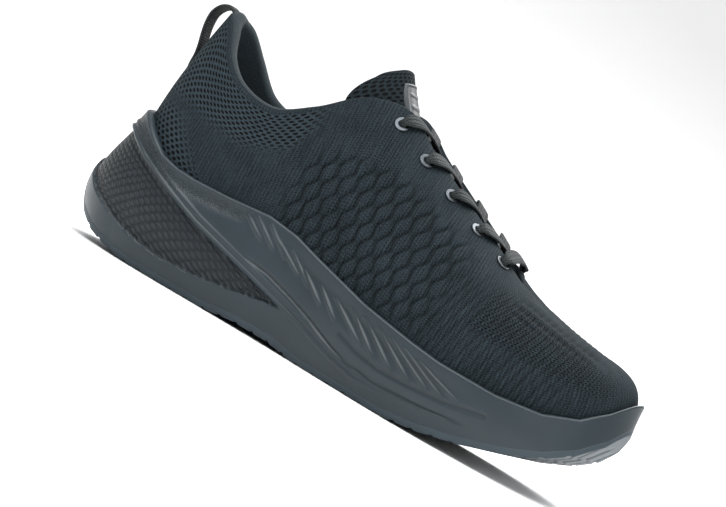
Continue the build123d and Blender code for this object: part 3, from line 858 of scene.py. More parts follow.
@dataclass
class Sole:
    """Sculpted foam midsole and its tread layer."""

    last: Last
    steps: int = 32
    rows: int = 78
    tread_steps: int = 40
    tread_across: int = 36
    tread_thickness: float = 3.6
    tread_pitch: float = 9.6
    tread_from: float = 9.0
    tread_depth: float = 1.5
    notch_reach: float = 1.3
    channel_depth: float = 1.6
    side_channel: float = 19.0
    rim_round: float = 0.9
    knit_gap: float = 0.25
    panel_depth: float = 1.7
    crest_rise: float = 0.9
    crease_depth: float = 0.9
    fin_rise: float = 0.95
    fin_floor_depth: float = 0.5
    hollow_depth: float = 1.1
    long_hollow_depth: float = 0.8
    flare_unit: float = 40.0
    flare_x: Sequence[float] = (12.0, 35.0, 60.0, 130.0, 200.0, 260.0, 297.0)
    flare_levels: Sequence[float] = (-2.0, 16.0, 40.0, 74.0)
    flare: Sequence[Sequence[float]] = (
        (-3.0, -3.0, -2.0, -2.0, -2.0, -3.0, -6.0), (12.0, 7.0, 6.5, 4.5, 5.0, 5.0, 3.5),
        (13.5, 7.5, 6.0, 4.5, 4.0, 4.0, 4.0), (4.0, 3.5, 3.0, 3.0, 3.0, 3.0, 3.0),
    )
    rim_line: Line = (
        (-6.0, 68.0), (8.0, 71.0), (12.5, 70.0), (17.0, 67.5), (24.6, 62.7), (37.5, 55.4), (49.0, 53.0),
        (60.0, 52.5), (80.0, 53.3), (103.0, 55.4), (120.0, 53.5), (137.0, 49.0), (169.0, 41.8),
        (200.0, 37.6), (216.0, 36.0), (246.0, 35.5), (268.0, 38.0), (283.0, 44.0), (292.0, 53.0), (298.0, 62.0),
        (304.0, 68.0),
    )
    ground_line: Line = (
        (-4.0, 48.0), (-1.5, 38.0), (1.0, 26.0), (8.0, 12.0), (19.0, 5.5), (34.0, 1.6), (48.0, 0.0),
        (92.0, 0.0), (112.0, 2.4), (132.0, 2.4), (150.0, 0.0), (200.0, 0.0), (220.0, 2.2), (240.0, 6.6),
        (260.0, 12.6), (276.0, 19.6), (288.0, 28.0), (296.0, 38.0), (301.0, 50.0), (303.0, 60.0),
    )
    ridge: Line = (
        (-4.0, 63.0), (12.0, 59.3), (30.0, 50.5), (52.0, 41.8), (72.0, 35.0), (92.0, 30.1), (112.0, 25.3),
        (128.0, 21.4), (144.0, 17.5), (165.0, 11.7), (182.0, 8.7), (208.0, 9.7), (246.0, 14.6), (275.0, 24.0),
    )
    panel_foot: Line = (
        (-3.0, 36.0), (3.0, 31.0), (12.0, 24.5), (30.0, 16.5), (46.0, 12.6), (62.0, 10.7), (82.0, 11.7),
        (102.0, 14.6), (123.0, 18.5), (139.0, 19.4),
    )
    crease: Line = (
        (104.0, 33.0), (118.0, 31.1), (133.0, 27.2), (149.0, 22.4), (165.0, 16.5), (176.0, 13.6),
        (192.0, 12.6), (218.0, 13.6), (242.0, 16.5),
    )
    fins: Sequence[tuple[tuple[float, float], tuple[float, float]]] = (
        ((92.0, 51.5), (105.0, 43.7)), ((98.0, 52.5), (113.0, 42.8)), ((106.0, 52.5), (121.0, 41.8)),
        ((112.0, 48.6), (131.0, 38.0)), ((122.0, 47.0), (139.0, 35.5)), ((133.0, 41.5), (149.0, 31.1)),
        ((144.0, 39.5), (160.0, 28.2)), ((154.0, 37.9), (178.0, 24.3)), ((164.0, 37.9), (188.0, 21.8)),
        ((173.0, 36.9), (199.0, 20.6)), ((182.0, 36.0), (208.0, 21.4)), ((190.0, 35.0), (217.0, 22.4)),
        ((198.0, 34.0), (225.0, 22.6)), ((208.0, 32.1), (233.0, 24.3)),
    )
    fin_floor: Line = (
        (166.0, 24.5), (178.0, 21.2), (192.0, 19.2), (208.0, 19.7), (228.0, 21.4), (246.0, 25.0),
    )

    def envelope(self, places: np.ndarray, heights: np.ndarray) -> np.ndarray:
        """Points of the flared side.

        Args:
            places: Places round the ring.
            heights: Rows of heights, one for each place.

        Returns:
            An array of rows by places by three.
        """
        feet, outward = self.last.feet(places)
        table = np.array([np.interp(feet[:, 0], self.flare_x, level) for level in self.flare])
        levels = np.array(self.flare_levels) / self.flare_unit
        reach = np.empty_like(heights)
        for column in range(heights.shape[1]):
            curve = np.polynomial.polynomial.polyfit(levels, table[:, column], 3)
            reach[:, column] = np.polynomial.polynomial.polyval(heights[:, column] / self.flare_unit, curve)
        xy = feet[None] + outward[None] * reach[..., None]
        return np.concatenate([xy, heights[..., None]], axis=2)

    def edge_heights(self, places: np.ndarray, line: Line, lift: float) -> np.ndarray:
        """Heights where the flared side meets a side profile.

        Args:
            places: Places round the ring.
            line: Side profile (x, z).
            lift: Height above the profile.

        Returns:
            One row of heights.
        """
        heights = np.full((1, len(places)), 20.0 if lift >= 0 else 0.0)
        for _ in range(12):
            x = self.envelope(places, heights)[0, :, 0]
            heights = 0.5 * heights + 0.5 * (profile(line, x) + lift)[None]
        return heights

    def relief(
        self, x: np.ndarray, z: np.ndarray, top: np.ndarray
    ) -> tuple[np.ndarray, dict[Zone, np.ndarray]]:
        """Sculpted relief of the side wall: heel panel, ridge, crease, fins and hollows.

        Args:
            x: Distance from the heel.
            z: Height.
            top: Height of the rim above each point.

        Returns:
            The outward displacement and the painted zones.
        """
        above = z - profile(self.ridge, x)
        below = top - z
        heel_part = 1 - smooth_step(x, 118.0, 140.0)
        panel = smooth_step(-above, 0.6, 1.6) * smooth_step(z - profile(self.panel_foot, x), 0.0, 0.9)
        panel = panel * heel_part
        crest = (hump(above - 0.4, 0.9) + 0.7 * hump(above - 3.6, 0.9)) * (1 - smooth_step(x, 170.0, 225.0))
        crease = hump(line_distance(x, z, self.crease), 0.6) * span(x, (100.0, 112.0), (228.0, 244.0))
        fins = np.zeros_like(x)
        for start, end in self.fins:
            share = np.clip((x - start[0]) / (end[0] - start[0]), 0.05, 0.95)
            fin = hump(line_distance(x, z, (start, end)), 0.6) * (0.45 + 0.55 * np.sin(np.pi * share))
            fins = np.maximum(fins, fin)
        fin_floor = hump(line_distance(x, z, self.fin_floor), 1.2)
        hollow = hump(below - 4.6, 3.4) * span(x, (42.0, 56.0), (84.0, 100.0))
        long_hollow = hump(below - 8.0, 4.5) * span(x, (108.0, 140.0), (215.0, 245.0))
        relief = self.crest_rise * crest + self.fin_rise * fins - self.panel_depth * panel
        relief = relief - self.crease_depth * crease - self.fin_floor_depth * fin_floor
        relief = relief - self.hollow_depth * hollow - self.long_hollow_depth * long_hollow
        grained = smooth_step(above, 1.2, 2.4) * smooth_step(below, 0.6, 2.0)
        grained = grained * (1 - smooth_step(x, 30.0, 62.0))
        # Painted shade: the crease, the hollows, the floor between the fins and a band just under the ridge.
        shade = 0.6 * crease + 0.35 * hollow + 0.35 * long_hollow + 0.4 * fin_floor
        shade = shade + 0.4 * hump(above + 0.9, 0.8) * heel_part
        return relief, {
            Zone.STUDDED: panel, Zone.GRAINED: np.maximum(grained, hollow * 0.35),
            Zone.SATIN: np.clip(hollow, 0, 1), Zone.SHADED_FOAM: np.clip(shade, 0, 1),
        }

    def build_midsole(self, finish: bpy.types.Material) -> bpy.types.Object:
        """Build the foam cup.

        Args:
            finish: Its material.

        Returns:
            The piece, painted with its zones.
        """
        places = ring_places(self.steps)
        low = self.edge_heights(places, self.ground_line, self.tread_thickness)
        high = self.edge_heights(places, self.rim_line, 0.0)
        wall = self.envelope(places, low + (high - low) * np.linspace(0, 1, self.rows).reshape(-1, 1))
        relief, zones = self.relief(wall[..., 0], wall[..., 2], np.repeat(high, self.rows, axis=0))
        calm = smooth_step(high - wall[..., 2], 0.0, 2.2) * smooth_step(wall[..., 2] - low, 0.0, 1.5)
        wall = wall + outward_normals(wall) * (relief * calm)[..., None]
        feet, outward = self.last.feet(places)
        seam = feet + outward * self.knit_gap
        inner_edge = np.concatenate([seam, high.T], axis=1)
        rim = []
        for turn in (0.2, 0.45, 0.75, 1.0):
            lift = self.rim_round * math.sin(math.pi * turn)
            rim.append(wall[-1] + (inner_edge - wall[-1]) * turn + np.array([0, 0, lift]))
        floor_z = profile(self.last.footbed, feet[:, 0])
        inner = [np.column_stack([seam, high[0] + (floor_z - high[0]) * t]) for t in (0.35, 0.7, 1.0)]
        grid = np.concatenate([wall, np.array(rim), np.array(inner)], axis=0)
        rows, columns = grid.shape[:2]
        faces = grid_faces(rows, columns, False, True)
        faces += self._bridge(0, columns)
        faces += [face[::-1] for face in self._bridge((rows - 1) * columns, columns)]
        piece = new_piece("midsole_shell", grid.reshape(-1, 3), faces, finish)
        unpainted = np.zeros((rows - self.rows, columns))
        for zone, values in zones.items():
            paint(piece, zone, np.concatenate([values, unpainted], axis=0))
        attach(piece, SHOE)
        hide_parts("midsole")
        return piece

    @staticmethod
    def _bridge(first: int, columns: int) -> list[tuple[int, ...]]:
        """Faces across the shoe between matching columns of its two sides.

        Args:
            first: Number of the first vertex of the ring.
            columns: Number of vertices in the ring.

        Returns:
            The faces, facing down.
        """
        faces = []
        for index in range(columns // 2):
            far_left, far_right = first + (columns - index) % columns, first + (columns - index - 1) % columns
            corners = dict.fromkeys([first + index, first + index + 1, far_right, far_left])
            faces.append(tuple(corners)[::-1])
        return faces

    def build_tread(self, finish: bpy.types.Material) -> bpy.types.Object:
        """Build the tread layer with a notch between each pair of lugs and three channels along it.

        Args:
            finish: Its material.

        Returns:
            The piece.
        """
        places = ring_places(self.tread_steps)
        low = self.edge_heights(places, self.ground_line, 0.0)
        high = self.edge_heights(places, self.ground_line, self.tread_thickness + 0.05)
        wall = self.envelope(places, low + (high - low) * np.linspace(0, 1, 6).reshape(-1, 1))
        rows, columns = wall.shape[:2]
        half = columns // 2
        spans = np.linspace(0, 1, self.tread_across + 1)[1:-1]
        index = np.arange(half + 1)
        lateral, medial = wall[0, index], wall[0, (columns - index) % columns]
        bottom = lateral[None] + (medial - lateral)[None] * spans.reshape(-1, 1, 1)
        wall[0], bottom = self._notch(wall[0]), self._notch(bottom)
        breadth = np.abs(medial[:, 1] - lateral[:, 1])
        off_centre = np.abs(spans - 0.5).reshape(-1, 1) * breadth[None]
        channel = np.exp(-(off_centre / 3.2)**4) + np.exp(-((off_centre - self.side_channel) / 1.3)**4)
        bottom[..., 2] += self.channel_depth * np.clip(channel, 0, 1) * smooth_step(breadth, 30.0, 50.0)
        points = np.concatenate([wall.reshape(-1, 3), bottom.reshape(-1, 3)], axis=0)
        faces = grid_faces(rows, columns, False, True)
        faces += [face[::-1] for face in self._bridge((rows - 1) * columns, columns)]
        faces += self._underside(rows * columns, columns)
        piece = new_piece("tread_layer", points, faces, finish)
        merge_doubles(piece, 0.00001)
        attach(piece, SHOE)
        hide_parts("outsole")
        return piece

    def _underside(self, start: int, columns: int) -> list[tuple[int, ...]]:
        """Faces of the underside.

        Args:
            start: Number of its first vertex that is not on the edge.
            columns: Number of vertices in the edge.

        Returns:
            The vertex numbers of each face.
        """
        half = columns // 2

        def number(row: int, place: int) -> int:
            """Vertex at a row across the tread and a place along it.

            Args:
                row: Row across the tread, from the lateral edge.
                place: Place along it.

            Returns:
                The vertex's number.
            """
            if row == 0:
                return place
            if row == self.tread_across:
                return (columns - place) % columns
            return start + (row - 1) * (half + 1) + place

        faces = []
        for row in range(self.tread_across):
            for place in range(half):
                corners = ((row, place), (row + 1, place), (row + 1, place + 1), (row, place + 1))
                ring = tuple(dict.fromkeys(number(*corner) for corner in corners))
                if len(ring) > 2:
                    faces.append(ring)
        return faces

    def _notch(self, points: np.ndarray) -> np.ndarray:
        """Raise the points that lie in a notch between two lugs.

        Args:
            points: Points of the underside.

        Returns:
            The points with the notches.
        """
        x = points[..., 0]
        phase = ((x - self.tread_from) % self.tread_pitch) - (self.tread_pitch - self.notch_reach)
        depth = np.clip(1 - np.abs(phase) / self.notch_reach, 0, 1) * span(x, (6.0, 12.0), (288.0, 294.0))
        raised = points.copy()
        raised[..., 2] += self.tread_depth * depth
        return raised


def merge_doubles(piece: bpy.types.Object, distance: float) -> None:
    """Merge vertices that lie at one place and point all faces outwards.

    Args:
        piece: The piece.
        distance: Vertices closer than this, in metres, are one.
    """
    bpy.ops.object.select_all(action="DESELECT")
    piece.select_set(True)
    bpy.context.view_layer.objects.active = piece
    bpy.ops.object.mode_set(mode="EDIT")
    bpy.ops.mesh.select_all(action="SELECT")
    bpy.ops.mesh.remove_doubles(threshold=distance)
    bpy.ops.mesh.normals_make_consistent(inside=False)
    bpy.ops.object.mode_set(mode="OBJECT")


# ---------------------------------------------------------------------------------------------
# Upper
# ---------------------------------------------------------------------------------------------


@dataclass
class Upper:
    """Knitted shell with its rolled edge, and the padded lining inside it."""

    last: Last
    steps: int = 26
    rows: int = 86
    lining_steps: int = 12
    lining_rows: int = 52
    knit_thickness: float = 1.0
    wall_thickness: float = 2.9
    collar_foam: float = 5.5
    edge_roll: float = 2.4
    lining_seam: float = 0.4
    lining_thickness: float = 0.6
    lean: float = 0.22
    lean_height: float = 75.0
    cord_pitch: float = 6.0
    wave_height: float = 12.8
    wave_swing: float = 0.52
    cord_groove: float = 1.2
    cord_crown: float = 0.45
    wale_pitch: float = 3.7
    wale_depth: float = 0.30
    fold_pitch: float = 8.5
    fold_depth: float = 0.30
    rib_pitch: float = 3.6
    rib_depth: float = 0.35
    cords_top: Line = ((92.0, 88.0), (120.0, 106.0), (150.0, 108.0), (200.0, 92.0))
    cords_bottom: Line = ((92.0, 60.0), (130.0, 44.0), (205.0, 42.0))
    collar_band: Line = ((10.0, 84.0), (26.0, 86.0), (45.0, 82.0), (70.0, 79.0), (92.0, 88.0), (112.0, 126.0))
    perforated_top: Line = ((215.0, 84.0), (240.0, 79.0), (285.0, 70.0))

    def pad(self, places: np.ndarray, ups: np.ndarray) -> np.ndarray:
        """Extra depth of the padded collar."""
        around = 1 - smooth_step(side_place(places), 4.6, 7.4)
        return self.collar_foam * around[None] * smooth_step(ups, 0.50, 0.80)[:, None]

    def cords(self, x: np.ndarray, z: np.ndarray) -> tuple[np.ndarray, np.ndarray]:
        """Wavy cords at the midfoot.

        Args:
            x: Distance from the heel.
            z: Height.

        Returns:
            The relief and the painted shade of the grooves between the cords.
        """
        upright = (x - self.lean * (z - self.lean_height)) / self.cord_pitch
        swing = np.cos(FULL_TURN * (z + 0.12 * x) / self.wave_height)
        off = np.abs(np.cos(np.pi * upright) - self.wave_swing * swing) * self.cord_pitch / math.pi
        top, bottom = profile(self.cords_top, x), profile(self.cords_bottom, x)
        area = span(x, (96.0, 112.0), (192.0, 208.0))
        area = area * (1 - smooth_step(z, top - 8.0, top)) * smooth_step(z, bottom - 4.0, bottom + 4.0)
        groove = hump(off, 0.75)
        return area * (self.cord_crown * np.clip(off / 2.0, 0, 1) - self.cord_groove * groove), area * groove

    def relief(self, grid: np.ndarray) -> tuple[np.ndarray, dict[Zone, np.ndarray]]:
        """Knitted relief: cords at the midfoot, wales and ribs in front of them, folds at the throat.

        Args:
            grid: Points of the outer face.

        Returns:
            The outward displacement and the painted zones.
        """
        x, z = grid[..., 0], grid[..., 2]
        # cords also gives the painted shade of the grooves between the cords.
        relief, painted_shade = self.cords(x, z)
        wale = np.sin(FULL_TURN * (x - self.lean * (z - self.lean_height)) / self.wale_pitch)
        wales = span(x, (188.0, 204.0), (262.0, 280.0)) * (1 - smooth_step(z, 74.0, 84.0))
        fold = np.sin(FULL_TURN * (x + 0.25 * z) / self.fold_pitch)
        folds = span(x, (104.0, 118.0), (160.0, 176.0)) * span(z, (98.0, 108.0), (122.0, 132.0))
        rib = np.sin(FULL_TURN * (z + 0.18 * x) / self.rib_pitch)
        ribs = span(x, (226.0, 236.0), (268.0, 282.0)) * smooth_step(z, 66.0, 74.0)
        relief = relief + self.wale_depth * wales * wale + self.fold_depth * folds * fold
        relief = relief + self.rib_depth * ribs * rib
        # Painted shade in the troughs of the wales and ribs.
        painted_shade = painted_shade + 0.8 * wales * np.clip(-wale, 0, 1)**2 + 0.4 * ribs * np.clip(-rib, 0, 1)
        heel_patch = (1 - smooth_step(x + 1.1 * (z - 58.0), 46.0, 62.0)) * (1 - smooth_step(z, 76.0, 84.0))
        low = profile(self.collar_band, x)
        band = smooth_step(z, low - 5.0, low + 4.0) * (1 - smooth_step(x, 92.0, 104.0))
        top = profile(self.perforated_top, x)
        dots = span(x, (214.0, 224.0), (278.0, 292.0)) * smooth_step(z, 54.0, 60.0)
        dots = dots * (1 - smooth_step(z, top - 5.0, top))
        return relief, {
            Zone.OPEN_MESH: np.clip(np.maximum(heel_patch, band), 0, 1), Zone.PERFORATED: dots,
            Zone.SHADED_KNIT: np.clip(painted_shade, 0, 1),
        }

    def knit_grid(self, places: np.ndarray) -> np.ndarray:
        """Outer face, rolled edge and inner strip of the knit, row by row.

        Args:
            places: Places round the ring.

        Returns:
            The grid; its first rows are the outer face.
        """
        ups = np.linspace(0.0, 1.0, self.rows)
        outer = self.last.wall(places, ups)
        normals = outward_normals(outer)
        relief, _ = self.relief(outer)
        calm = (1 - smooth_step(ups, 0.965, 0.99))[:, None]
        face = outer + normals * (relief * calm)[..., None]
        rising = unit(outer[-1] - outer[-3])
        radius = self.edge_roll / 2
        roll = [
            outer[-1] + rising * radius * math.sin(turn) - normals[-1] * radius * (1 - math.cos(turn))
            for turn in np.linspace(0, np.pi, 9)[1:]
        ]
        strip = self.inner_face(places, np.array([0.985, 0.97]), self.edge_roll)
        return np.concatenate([face, np.array(roll), strip], axis=0)

    def inner_face(self, places: np.ndarray, ups: np.ndarray, depth: float | np.ndarray) -> np.ndarray:
        """Points sunk below the wall's outer face.

        Args:
            places: Places round the ring.
            ups: Places up each section.
            depth: Depth at each place, or one depth for all.

        Returns:
            An array of ups by places by three.
        """
        outer = self.last.wall(places, np.linspace(0.0, 1.0, self.rows))
        normals = outward_normals(outer)
        index = ups * (self.rows - 1)
        low = np.clip(np.floor(index).astype(int), 0, self.rows - 2)
        share = (index - low).reshape(-1, 1, 1)
        face = outer[low] * (1 - share) + outer[low + 1] * share
        out = normals[low] * (1 - share) + normals[low + 1] * share
        return face - out * np.broadcast_to(depth, face.shape[:2])[..., None]

    @staticmethod
    def shell(
        name: str, grid: np.ndarray, thickness: float, stride: int, finish: bpy.types.Material
    ) -> bpy.types.Object:
        """Close a visible grid with a hidden backing.

        Args:
            name: Name of the piece.
            grid: Visible rows of points, their outer side to the left of the way round.
            thickness: Distance to the backing.
            stride: The backing keeps one row in this many.
            finish: Material of the piece.

        Returns:
            The closed piece, mapped along its surface.
        """
        back = (grid - outward_normals(grid) * thickness)[::-1]
        keep = sorted(set(range(0, len(back), stride)) | {len(back) - 1})
        rows = np.concatenate([grid, back[keep]], axis=0)
        piece = new_piece(name, rows.reshape(-1, 3), grid_faces(*rows.shape[:2], True, True), finish)
        middle = grid[len(grid) // 3]
        gaps = np.linalg.norm(np.roll(middle, -1, axis=0) - middle, axis=1)
        rises = np.linalg.norm(np.diff(rows, axis=0), axis=2).mean(axis=1)
        map_weave(piece, running_length(gaps), np.append(running_length(rises), rises.sum() + thickness))
        return piece

    def build_knit(self, finish: bpy.types.Material) -> bpy.types.Object:
        """Build the knitted shell.

        Args:
            finish: Its material.

        Returns:
            The piece, painted with its zones.
        """
        places = ring_places(self.steps)
        grid = self.knit_grid(places)
        piece = self.shell("knit_shell", grid, self.knit_thickness, 8, finish)
        _, zones = self.relief(grid[:self.rows])
        unpainted = np.zeros((len(piece.data.vertices) // len(places) - self.rows, len(places)))
        calm = (1 - smooth_step(np.linspace(0, 1, self.rows), 0.96, 0.985))[:, None]
        for zone, values in zones.items():
            paint(piece, zone, np.concatenate([values * calm, unpainted], axis=0))
        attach(piece, SHOE)
        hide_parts("upper_knit", "heel_counter", "toe_puff", "eyestay_lateral", "eyestay_medial")
        return piece

    def build_lining(self, finish: bpy.types.Material) -> bpy.types.Object:
        """Build the lining, from the collar's inner seam down to the footbed.

        Args:
            finish: Its material.

        Returns:
            The piece.
        """
        places = ring_places(self.lining_steps)
        ups = np.linspace(0.985, 0.01, self.lining_rows)
        inside = self.inner_face(places, ups, self.wall_thickness + self.pad(places, ups))
        edge = self.inner_face(places, np.array([1.0, 0.97]), 0.0)
        rising = unit(edge[0] - edge[1])
        across = self.inner_face(places, np.array([1.0]), 1.0)[0] - edge[0]
        foam = self.wall_thickness - self.lining_seam + self.pad(places, np.array([1.0]))[0]
        radius = foam[:, None] / 2
        roll = []
        for turn in np.linspace(0.35, np.pi, 13):
            lift = rising * radius * 0.95 * math.sin(turn)
            roll.append(edge[0] + across * (self.lining_seam + radius * (1 - math.cos(turn))) + lift)
        grid = np.concatenate([np.array(roll), inside], axis=0)
        piece = self.shell("lining_shell", grid, self.lining_thickness, 6, finish)
        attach(piece, SHOE)
        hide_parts("upper_lining", "collar_foam")
        return piece


@dataclass
class HeelLoop:
    """Webbing pull loop, sewn to the back of the knit and into the collar."""

    width: float = 12.0
    thickness: float = 2.0
    edge_power: float = 0.45
    rows: int = 90
    columns: int = 40
    route: Line = (
        (15.2, 97.0), (14.7, 101.5), (14.7, 106.5), (13.9, 111.5), (12.4, 117.5), (11.4, 123.5), (11.7, 129.4),
        (14.6, 134.0), (19.0, 135.6), (23.2, 133.4),
    )

    def build(self, finish: bpy.types.Material) -> bpy.types.Object:
        """Build the strap as one closed band with rounded edges.

        Args:
            finish: Its material.

        Returns:
            The piece.
        """
        points = np.array(self.route)
        before, beyond = 2 * points[:1] - points[1:2], 2 * points[-1:] - points[-2:-1]
        padded = np.concatenate([before, points, beyond], axis=0)
        line = smooth_loop(padded, np.linspace(0, len(points) - 1.001, self.rows) + 1.0)
        ahead = unit(np.gradient(line, axis=0))
        out = np.column_stack([-ahead[:, 1], ahead[:, 0]])
        around = np.linspace(0, 2 * np.pi, self.columns, endpoint=False)
        side, rise = rounded(around, self.edge_power, 0.8)
        rise = rise * self.thickness / 2
        grid = np.empty((self.rows, self.columns, 3))
        grid[..., 0] = line[:, :1] + out[:, :1] * rise[None]
        grid[..., 1] = side[None] * self.width / 2
        grid[..., 2] = line[:, 1:] + out[:, 1:] * rise[None]
        piece = new_piece("pull_loop", grid.reshape(-1, 3), tube_faces(self.rows, self.columns), finish)
        merge_doubles(piece, 0.000001)
        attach(piece, SHOE)
        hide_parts("heel_loop")
        return piece


# ---------------------------------------------------------------------------------------------
# Tongue
# ---------------------------------------------------------------------------------------------


@dataclass
class Tongue:
    """Padded tongue, arched over the instep, with a moulded patch."""

    # Each rib: centre (x, y, z), half width, fall of its wings, foam thickness.
    ribs: Sequence[tuple[float, ...]] = (
        (219.0, 3.0, 79.5, 12.0, 2.5, 1.5), (207.0, 1.3, 85.0, 14.0, 5.0, 1.8),
        (190.0, 0.7, 94.5, 17.0, 9.0, 2.4), (171.0, 0.4, 104.5, 19.0, 13.0, 2.8),
        (152.0, 0.2, 116.5, 20.0, 19.0, 3.2), (137.0, 0.0, 127.5, 19.0, 24.0, 4.2),
        (126.0, 0.0, 140.5, 19.0, 28.0, 5.0), (120.0, 0.0, 149.0, 13.0, 13.0, 5.0),
        (118.0, 0.0, 152.0, 7.0, 4.0, 3.0),
    )
    cover: float = 1.5
    rows: int = 120
    columns: int = 72
    patch_rows: int = 90
    patch_columns: int = 40
    patch_span: tuple[float, float] = (3.95, 6.55)
    patch_bars: Sequence[float] = (5.2, 5.6, 6.0)
    patch_depth: float = 0.6

    def rib_values(self, places: np.ndarray) -> np.ndarray:
        """Smooth rib values at places along the tongue.

        Args:
            places: Places in ribs from the front one.

        Returns:
            One row of rib values for each place.
        """
        table = np.array(self.ribs)
        ahead, behind = table[:1] - table[1:2], table[-1:] - table[-2:-1]
        table = np.concatenate([table[:1] + 2 * ahead, table[:1] + ahead, table, table[-1:] + behind], axis=0)
        return smooth_loop(table, places + 2.0)

    def surface(self, places: np.ndarray, shares: np.ndarray, depth: np.ndarray) -> np.ndarray:
        """Points of the tongue.

        Args:
            places: Places along the tongue, one for each row.
            shares: Share of the half width, rows by columns.
            depth: Depth below the outer face, rows by columns.

        Returns:
            An array of rows by columns by three.
        """
        values = self.rib_values(places)
        ahead = self.rib_values(places + 0.05) - self.rib_values(places - 0.05)
        tangent = unit(np.column_stack([ahead[:, 0], np.zeros(len(places)), ahead[:, 2]]))
        up = np.column_stack([tangent[:, 2], np.zeros(len(places)), -tangent[:, 0]])
        fall = values[:, 4:5] * (0.35 * shares**2 + 0.65 * shares**4)
        centre = values[:, None, :3]
        reach = shares * values[:, 3:4]
        return centre + reach[..., None] * np.array([0, 1.0, 0]) - up[:, None] * (fall + depth)[..., None]

    def build_pad(self, finish: bpy.types.Material) -> bpy.types.Object:
        """Build the padded body, its edges rounded and its end closed.

        Args:
            finish: Its material.

        Returns:
            The piece.
        """
        places = np.linspace(-0.75, len(self.ribs) - 1.0, self.rows)
        angles = np.linspace(0, 2 * np.pi, self.columns, endpoint=False)
        foam = self.rib_values(places)[:, 5:6] + self.cover
        end = np.sqrt(np.clip(1 - np.clip((places - 7.3) / 0.7, 0, 1)**2, 0.02, 1))[:, None]
        side, rise = rounded(angles, 0.55, 0.7)
        grid = self.surface(places, side[None] * (0.55 + 0.45 * end), foam / 2 - foam / 2 * rise[None] * end)
        piece = new_piece("tongue_pad", grid.reshape(-1, 3), tube_faces(self.rows, self.columns), finish)
        middle = grid[self.rows // 2]
        gaps = np.linalg.norm(np.roll(middle, -1, axis=0) - middle, axis=1)
        rises = np.linalg.norm(np.diff(grid[:, self.columns // 4], axis=0), axis=1)
        map_weave(piece, running_length(gaps), running_length(rises))
        merge_doubles(piece, 0.000001)
        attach(piece, TONGUE)
        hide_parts("tongue_face", "tongue_foam", "tongue_lining")
        return piece

    def patch_height(self, places: np.ndarray, shares: np.ndarray) -> np.ndarray:
        """Height of the patch over the tongue: a raised border and three plain bars.

        Args:
            places: Places along the tongue, one for each row.
            shares: Share of the half width, rows by columns.

        Returns:
            The height, rows by columns.
        """
        along = np.minimum(places - places[0], places[-1] - places)[:, None] * 14.0
        inset = np.minimum(along, (0.5 - np.abs(shares)) * 18.0)
        border = span(inset, (0.0, 0.7), (1.6, 2.1))
        bars = np.zeros_like(shares)
        for middle in self.patch_bars:
            off = np.abs(places[:, None] - middle - 0.12 * np.abs(shares) / 0.5)
            bars = np.maximum(bars, (off < 0.06) * 1.0)
        bars = bars * smooth_step(inset, 2.8, 3.6)
        return 0.1 + smooth_step(inset, -0.2, 0.5) * 0.35 + 0.3 * border + 0.25 * bars

    def build_label(self, finish: bpy.types.Material) -> bpy.types.Object:
        """Build the moulded patch.

        Args:
            finish: Its material.

        Returns:
            The piece.
        """
        rows, columns = self.patch_rows, self.patch_columns
        places = np.linspace(*self.patch_span, rows)
        shares = np.tile(np.linspace(-0.5, 0.5, columns), (rows, 1))
        top = self.surface(places, shares, -self.patch_height(places, shares))
        bottom = self.surface(places, shares, np.full(shares.shape, self.patch_depth))
        points = np.concatenate([top.reshape(-1, 3), bottom.reshape(-1, 3)])
        under = rows * columns
        faces = grid_faces(rows, columns, False, False)
        faces += [tuple(under + n for n in face[::-1]) for face in faces]
        rim = [*range(columns), *(row * columns + columns - 1 for row in range(1, rows))]
        rim += [(rows - 1) * columns + column for column in range(columns - 2, -1, -1)]
        rim += [row * columns for row in range(rows - 2, 0, -1)]
        faces += [(here, under + here, under + after, after) for here, after in zip(rim, rim[1:] + rim[:1])]
        piece = new_piece("tongue_patch", points, faces, finish)
        merge_doubles(piece, 0.000001)
        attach(piece, TONGUE)
        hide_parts("tongue_label")
        return piece


# ---------------------------------------------------------------------------------------------
# Lace
# ---------------------------------------------------------------------------------------------


